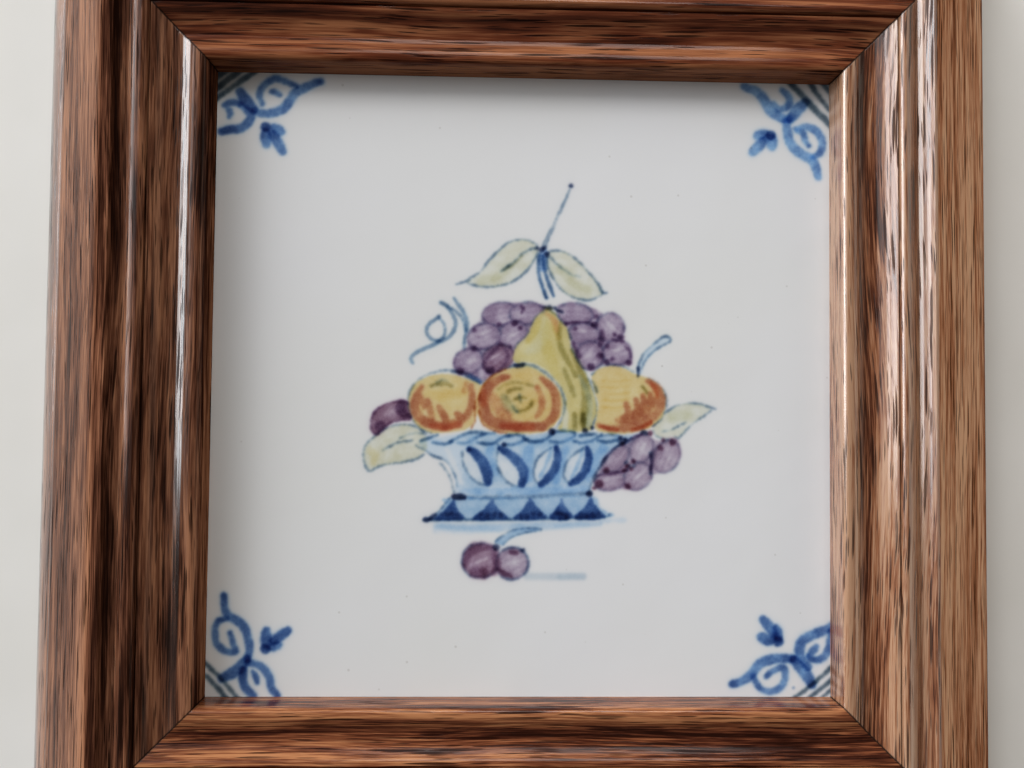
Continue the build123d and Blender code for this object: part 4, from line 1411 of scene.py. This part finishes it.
def split_cells(shown, tolerance):
    """Where the mesh over the face is fine: for each cell size, which cells are split in four.

    A cell is split while its colours differ by more than the tolerance, and two neighbours
    differ by one step of size at most.
    """
    split = {}
    for size in (2 ** k for k in range(1, FINEST.bit_length())):
        count = GRID // size
        least = np.full((count, count, 3), np.inf)
        most = -least
        for row in range(size + 1):
            for column in range(size + 1):
                part = shown[row:row + GRID - size + 1:size, column:column + GRID - size + 1:size]
                least, most = np.minimum(least, part), np.maximum(most, part)
        split[size] = (most - least).max(-1) > tolerance
    for size in (2 ** k for k in range(1, FINEST.bit_length() - 1)):
        need = split[size].copy()
        need[1:] |= split[size][:-1]
        need[:-1] |= split[size][1:]
        need[:, 1:] |= split[size][:, :-1]
        need[:, :-1] |= split[size][:, 1:]
        half = len(need) // 2
        split[2 * size] |= need.reshape(half, 2, half, 2).any((1, 3))
    return split


def face_mesh(shown, tolerance):
    """The faces over the grid, each a list of (row, column) places, anticlockwise from above."""
    split = split_cells(shown, tolerance)
    there = np.ones((ROOT_CELLS, ROOT_CELLS), bool)
    faces = []
    size = FINEST
    while size >= 1:
        cut = split.get(size, np.zeros_like(there))
        around = np.pad(cut, 1)
        for row, column in zip(*np.nonzero(there & ~cut)):
            down, left = row * size, column * size
            up, right, half = down + size, left + size, size // 2
            finer = (around[row, column + 1], around[row + 1, column + 2],
                     around[row + 2, column + 1], around[row + 1, column])
            corners = ((down, left), (down, right), (up, right), (up, left))
            if not any(finer):
                faces.append(corners)
                continue
            middles = ((down, left + half), (down + half, right), (up, left + half),
                       (down + half, left))
            ring = []
            for corner_place, middle, is_finer in zip(corners, middles, finer):
                ring.append(corner_place)
                if is_finer:
                    ring.append(middle)
            centre = (down + half, left + half)
            faces += [(a, b, centre) for a, b in zip(ring, ring[1:] + ring[:1])]
        there = np.repeat(np.repeat(there & cut, 2, 0), 2, 1)
        size //= 2
    return faces


def glaze():
    """White tin glaze with the painting under its gloss, read from the mesh's paint colours."""
    n = Nodes("tin_glaze")
    x, y, z = n.place()
    place = n.vector(x, y, z)

    # The paint's own colours, a little thicker and thinner from spot to spot.
    paint = n.node("ShaderNodeVertexColor", layer_name="paint").outputs["Color"]
    split = n.node("ShaderNodeSeparateColor")
    n.put(paint, split.inputs[0])
    grain = n.noise(place, scale=2.4, detail=3.0, roughness=0.6)
    cloud = n.noise(place, scale=0.35, detail=2.0)
    thickness = n.math("MULTIPLY_ADD", grain, 0.40, n.math("MULTIPLY_ADD", cloud, 0.30, 0.65))
    joined = n.node("ShaderNodeCombineColor")
    for channel in range(3):
        n.put(n.math("POWER", split.outputs[channel], thickness), joined.inputs[channel])

    # The white drifts in tone and has a few dark specks.
    drift = n.noise(place, scale=0.018, detail=2.0)
    white = n.ramp(drift, [(0.3, linear(206, 207, 207)), (0.7, linear(208, 209, 212))])
    speck = n.step(n.cells(n.vector(n.math("MULTIPLY", x, 0.16), n.math("MULTIPLY", y, 0.16), 3.1)),
                   0.055, 0.025)
    white = n.mix(n.math("MULTIPLY", speck, 0.25), white, linear(120, 112, 104))
    colour = n.mix(1.0, white, joined.outputs[0], "MULTIPLY")

    # The gloss is not quite flat: wide waves with a fine ripple on them.
    waves = n.noise(place, scale=0.06, detail=2.0)
    peel = n.noise(place, scale=0.55, detail=2.0)
    relief = n.math("MULTIPLY_ADD", waves, 1.0, n.math("MULTIPLY", peel, 0.06))
    n.set(Base_Color=colour, Roughness=n.math("MULTIPLY_ADD", cloud, 0.06, 0.10),
          Normal=n.bump(relief, 0.5, 0.0003), IOR=1.5)
    return n.material


def clay():
    """The fired clay of the tile's sides and back."""
    n = Nodes("fired_clay")
    x, y, z = n.place()
    place = n.vector(x, y, z)
    grit = n.noise(place, scale=1.4, detail=5.0, roughness=0.7)
    cloud = n.noise(place, scale=0.06, detail=2.0)
    colour = n.ramp(grit, [(0.3, linear(186, 152, 122)), (0.7, linear(212, 184, 156))])
    colour = n.mix(n.math("MULTIPLY", cloud, 0.4), colour, linear(198, 164, 134))
    n.set(Base_Color=colour, Roughness=0.85, Normal=n.bump(grit, 0.4, 0.0002))
    return n.material


def add_sides(mm, polygons, rim):
    """Adds the bevel, the sides and the back under a flat face that has rim as its outline."""
    half = (TILE_HIGH[0] - TILE_LOW[0]) / 2 / MM
    depth = (TILE_HIGH[2] - TILE_LOW[2]) / MM
    bevel = half - FACE_HALF
    points, rings = [mm], [rim]
    for side, drop in ((half, bevel), (FACE_HALF, depth)):
        ring = mm[rim] * (side / FACE_HALF)
        ring[:, 2] = -drop
        first = sum(map(len, points))
        rings.append(list(range(first, first + len(rim))))
        points.append(ring)
    for upper, lower in zip(rings, rings[1:]):
        for k in range(len(rim)):
            j = (k + 1) % len(rim)
            polygons.append([upper[j], upper[k], lower[k], lower[j]])
    polygons.append(rings[-1][::-1])
    return np.concatenate(points)


def tile():
    """The painted tile, whose flat face has small mesh cells where the painting needs them."""
    film = np.exp(-paint_tile().ink)
    faces = face_mesh(film ** (1 / SCREEN_GAMMA), PAINT_TOLERANCE)
    number = {}
    for face in faces:
        for place in face:
            number.setdefault(place, len(number))
    places = np.array(list(number))
    mm = np.column_stack([places[:, ::-1] * GRID_STEP - FACE_HALF, np.zeros(len(places))])
    polygons = [[number[place] for place in face] for face in faces]
    edge = [place for place in number if 0 in place or GRID in place]
    edge.sort(key=lambda place: math.atan2(place[0] - GRID / 2, place[1] - GRID / 2))
    rim = [number[place] for place in edge]
    glazed = len(polygons) + len(rim)  # the flat face and the bevel
    points = add_sides(mm, polygons, rim) * MM + np.array((0, 0, FACE))
    mesh = bpy.data.meshes.new("painted_tile")
    mesh.from_pydata(points.tolist(), [], polygons)
    colours = np.ones((len(points), 4), np.float32)
    colours[:len(places), :3] = film[places[:, 0], places[:, 1]]
    paint = mesh.color_attributes.new("paint", "FLOAT_COLOR", "POINT")
    paint.data.foreach_set("color", colours.ravel())
    for material in (glaze(), clay()):
        mesh.materials.append(material)
    slots = [0] * glazed + [1] * (len(polygons) - glazed)
    mesh.polygons.foreach_set("material_index", slots)
    mesh.update()
    piece = bpy.data.objects.new("painted_tile", mesh)
    bpy.context.collection.objects.link(piece)
    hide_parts("tile")
    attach(piece, "root")


def floor():
    """A plain pale floor under the part."""
    size = FLOOR_HALF
    mesh = bpy.data.meshes.new("floor")
    mesh.from_pydata([(-size, -size, 0), (size, -size, 0), (size, size, 0), (-size, size, 0)],
                     [], [(0, 1, 2, 3)])
    piece = bpy.data.objects.new("floor", mesh)
    bpy.context.collection.objects.link(piece)
    n = Nodes("pale_floor")
    x, y, z = n.place()
    cloud = n.noise(n.vector(x, y, z), scale=0.03, detail=3.0)
    n.set(Base_Color=n.ramp(cloud, [(0.3, linear(214, 212, 207)), (0.7, linear(220, 218, 214))]),
          Roughness=0.75)
    mesh.materials.append(n.material)


def lamp(name, azimuth, elevation, distance, size, power, colour):
    """A soft rectangular lamp that points at the part.

    azimuth is in degrees from +X towards +Y; size is the lamp's breadth and height.
    """
    data = bpy.data.lights.new(name, "AREA")
    data.shape = "RECTANGLE"
    data.size, data.size_y = size
    data.energy = power
    data.color = colour
    piece = bpy.data.objects.new(name, data)
    bpy.context.collection.objects.link(piece)
    around, up = math.radians(azimuth), math.radians(elevation)
    piece.location = (distance * math.cos(up) * math.cos(around),
                      distance * math.cos(up) * math.sin(around), distance * math.sin(up))
    piece.rotation_euler = (math.pi / 2 - up, 0, around + math.pi / 2)


def lights():
    """A dim warm room with the window, the lamps and a pale backdrop.

    The camera alone sees the backdrop, past the floor's edge.
    """
    world = bpy.data.worlds.new("studio")
    bpy.context.scene.world = world
    world.use_nodes = True
    tree = world.node_tree
    dim = tree.nodes["Background"]
    dim.inputs["Color"].default_value = (*ROOM_TONE, 1.0)
    dim.inputs["Strength"].default_value = ROOM_STRENGTH
    pale = tree.nodes.new("ShaderNodeBackground")
    pale.inputs["Color"].default_value = (*linear(226, 224, 219), 1.0)
    seen = tree.nodes.new("ShaderNodeLightPath")
    either = tree.nodes.new("ShaderNodeMixShader")
    tree.links.new(seen.outputs["Is Camera Ray"], either.inputs["Fac"])
    tree.links.new(dim.outputs[0], either.inputs[1])
    tree.links.new(pale.outputs[0], either.inputs[2])
    tree.links.new(either.outputs[0], tree.nodes["World Output"].inputs["Surface"])
    for row in LAMPS:
        lamp(*row)


def camera():
    """The photograph's camera, at its fitted place."""
    data = bpy.data.cameras.new("camera")
    data.sensor_width = SENSOR_WIDTH
    data.lens = FOCAL_PIXELS / PICTURE[0] * data.sensor_width
    data.clip_start = CLIP_START
    piece = bpy.data.objects.new("camera", data)
    bpy.context.collection.objects.link(piece)
    piece.location = (EYE[0] * MM, EYE[1] * MM, FACE + EYE[2] * MM)
    piece.rotation_euler = EYE_TURN
    bpy.context.scene.camera = piece


tile()
floor()
lights()
camera()
bpy.context.scene.view_settings.view_transform = "Standard"
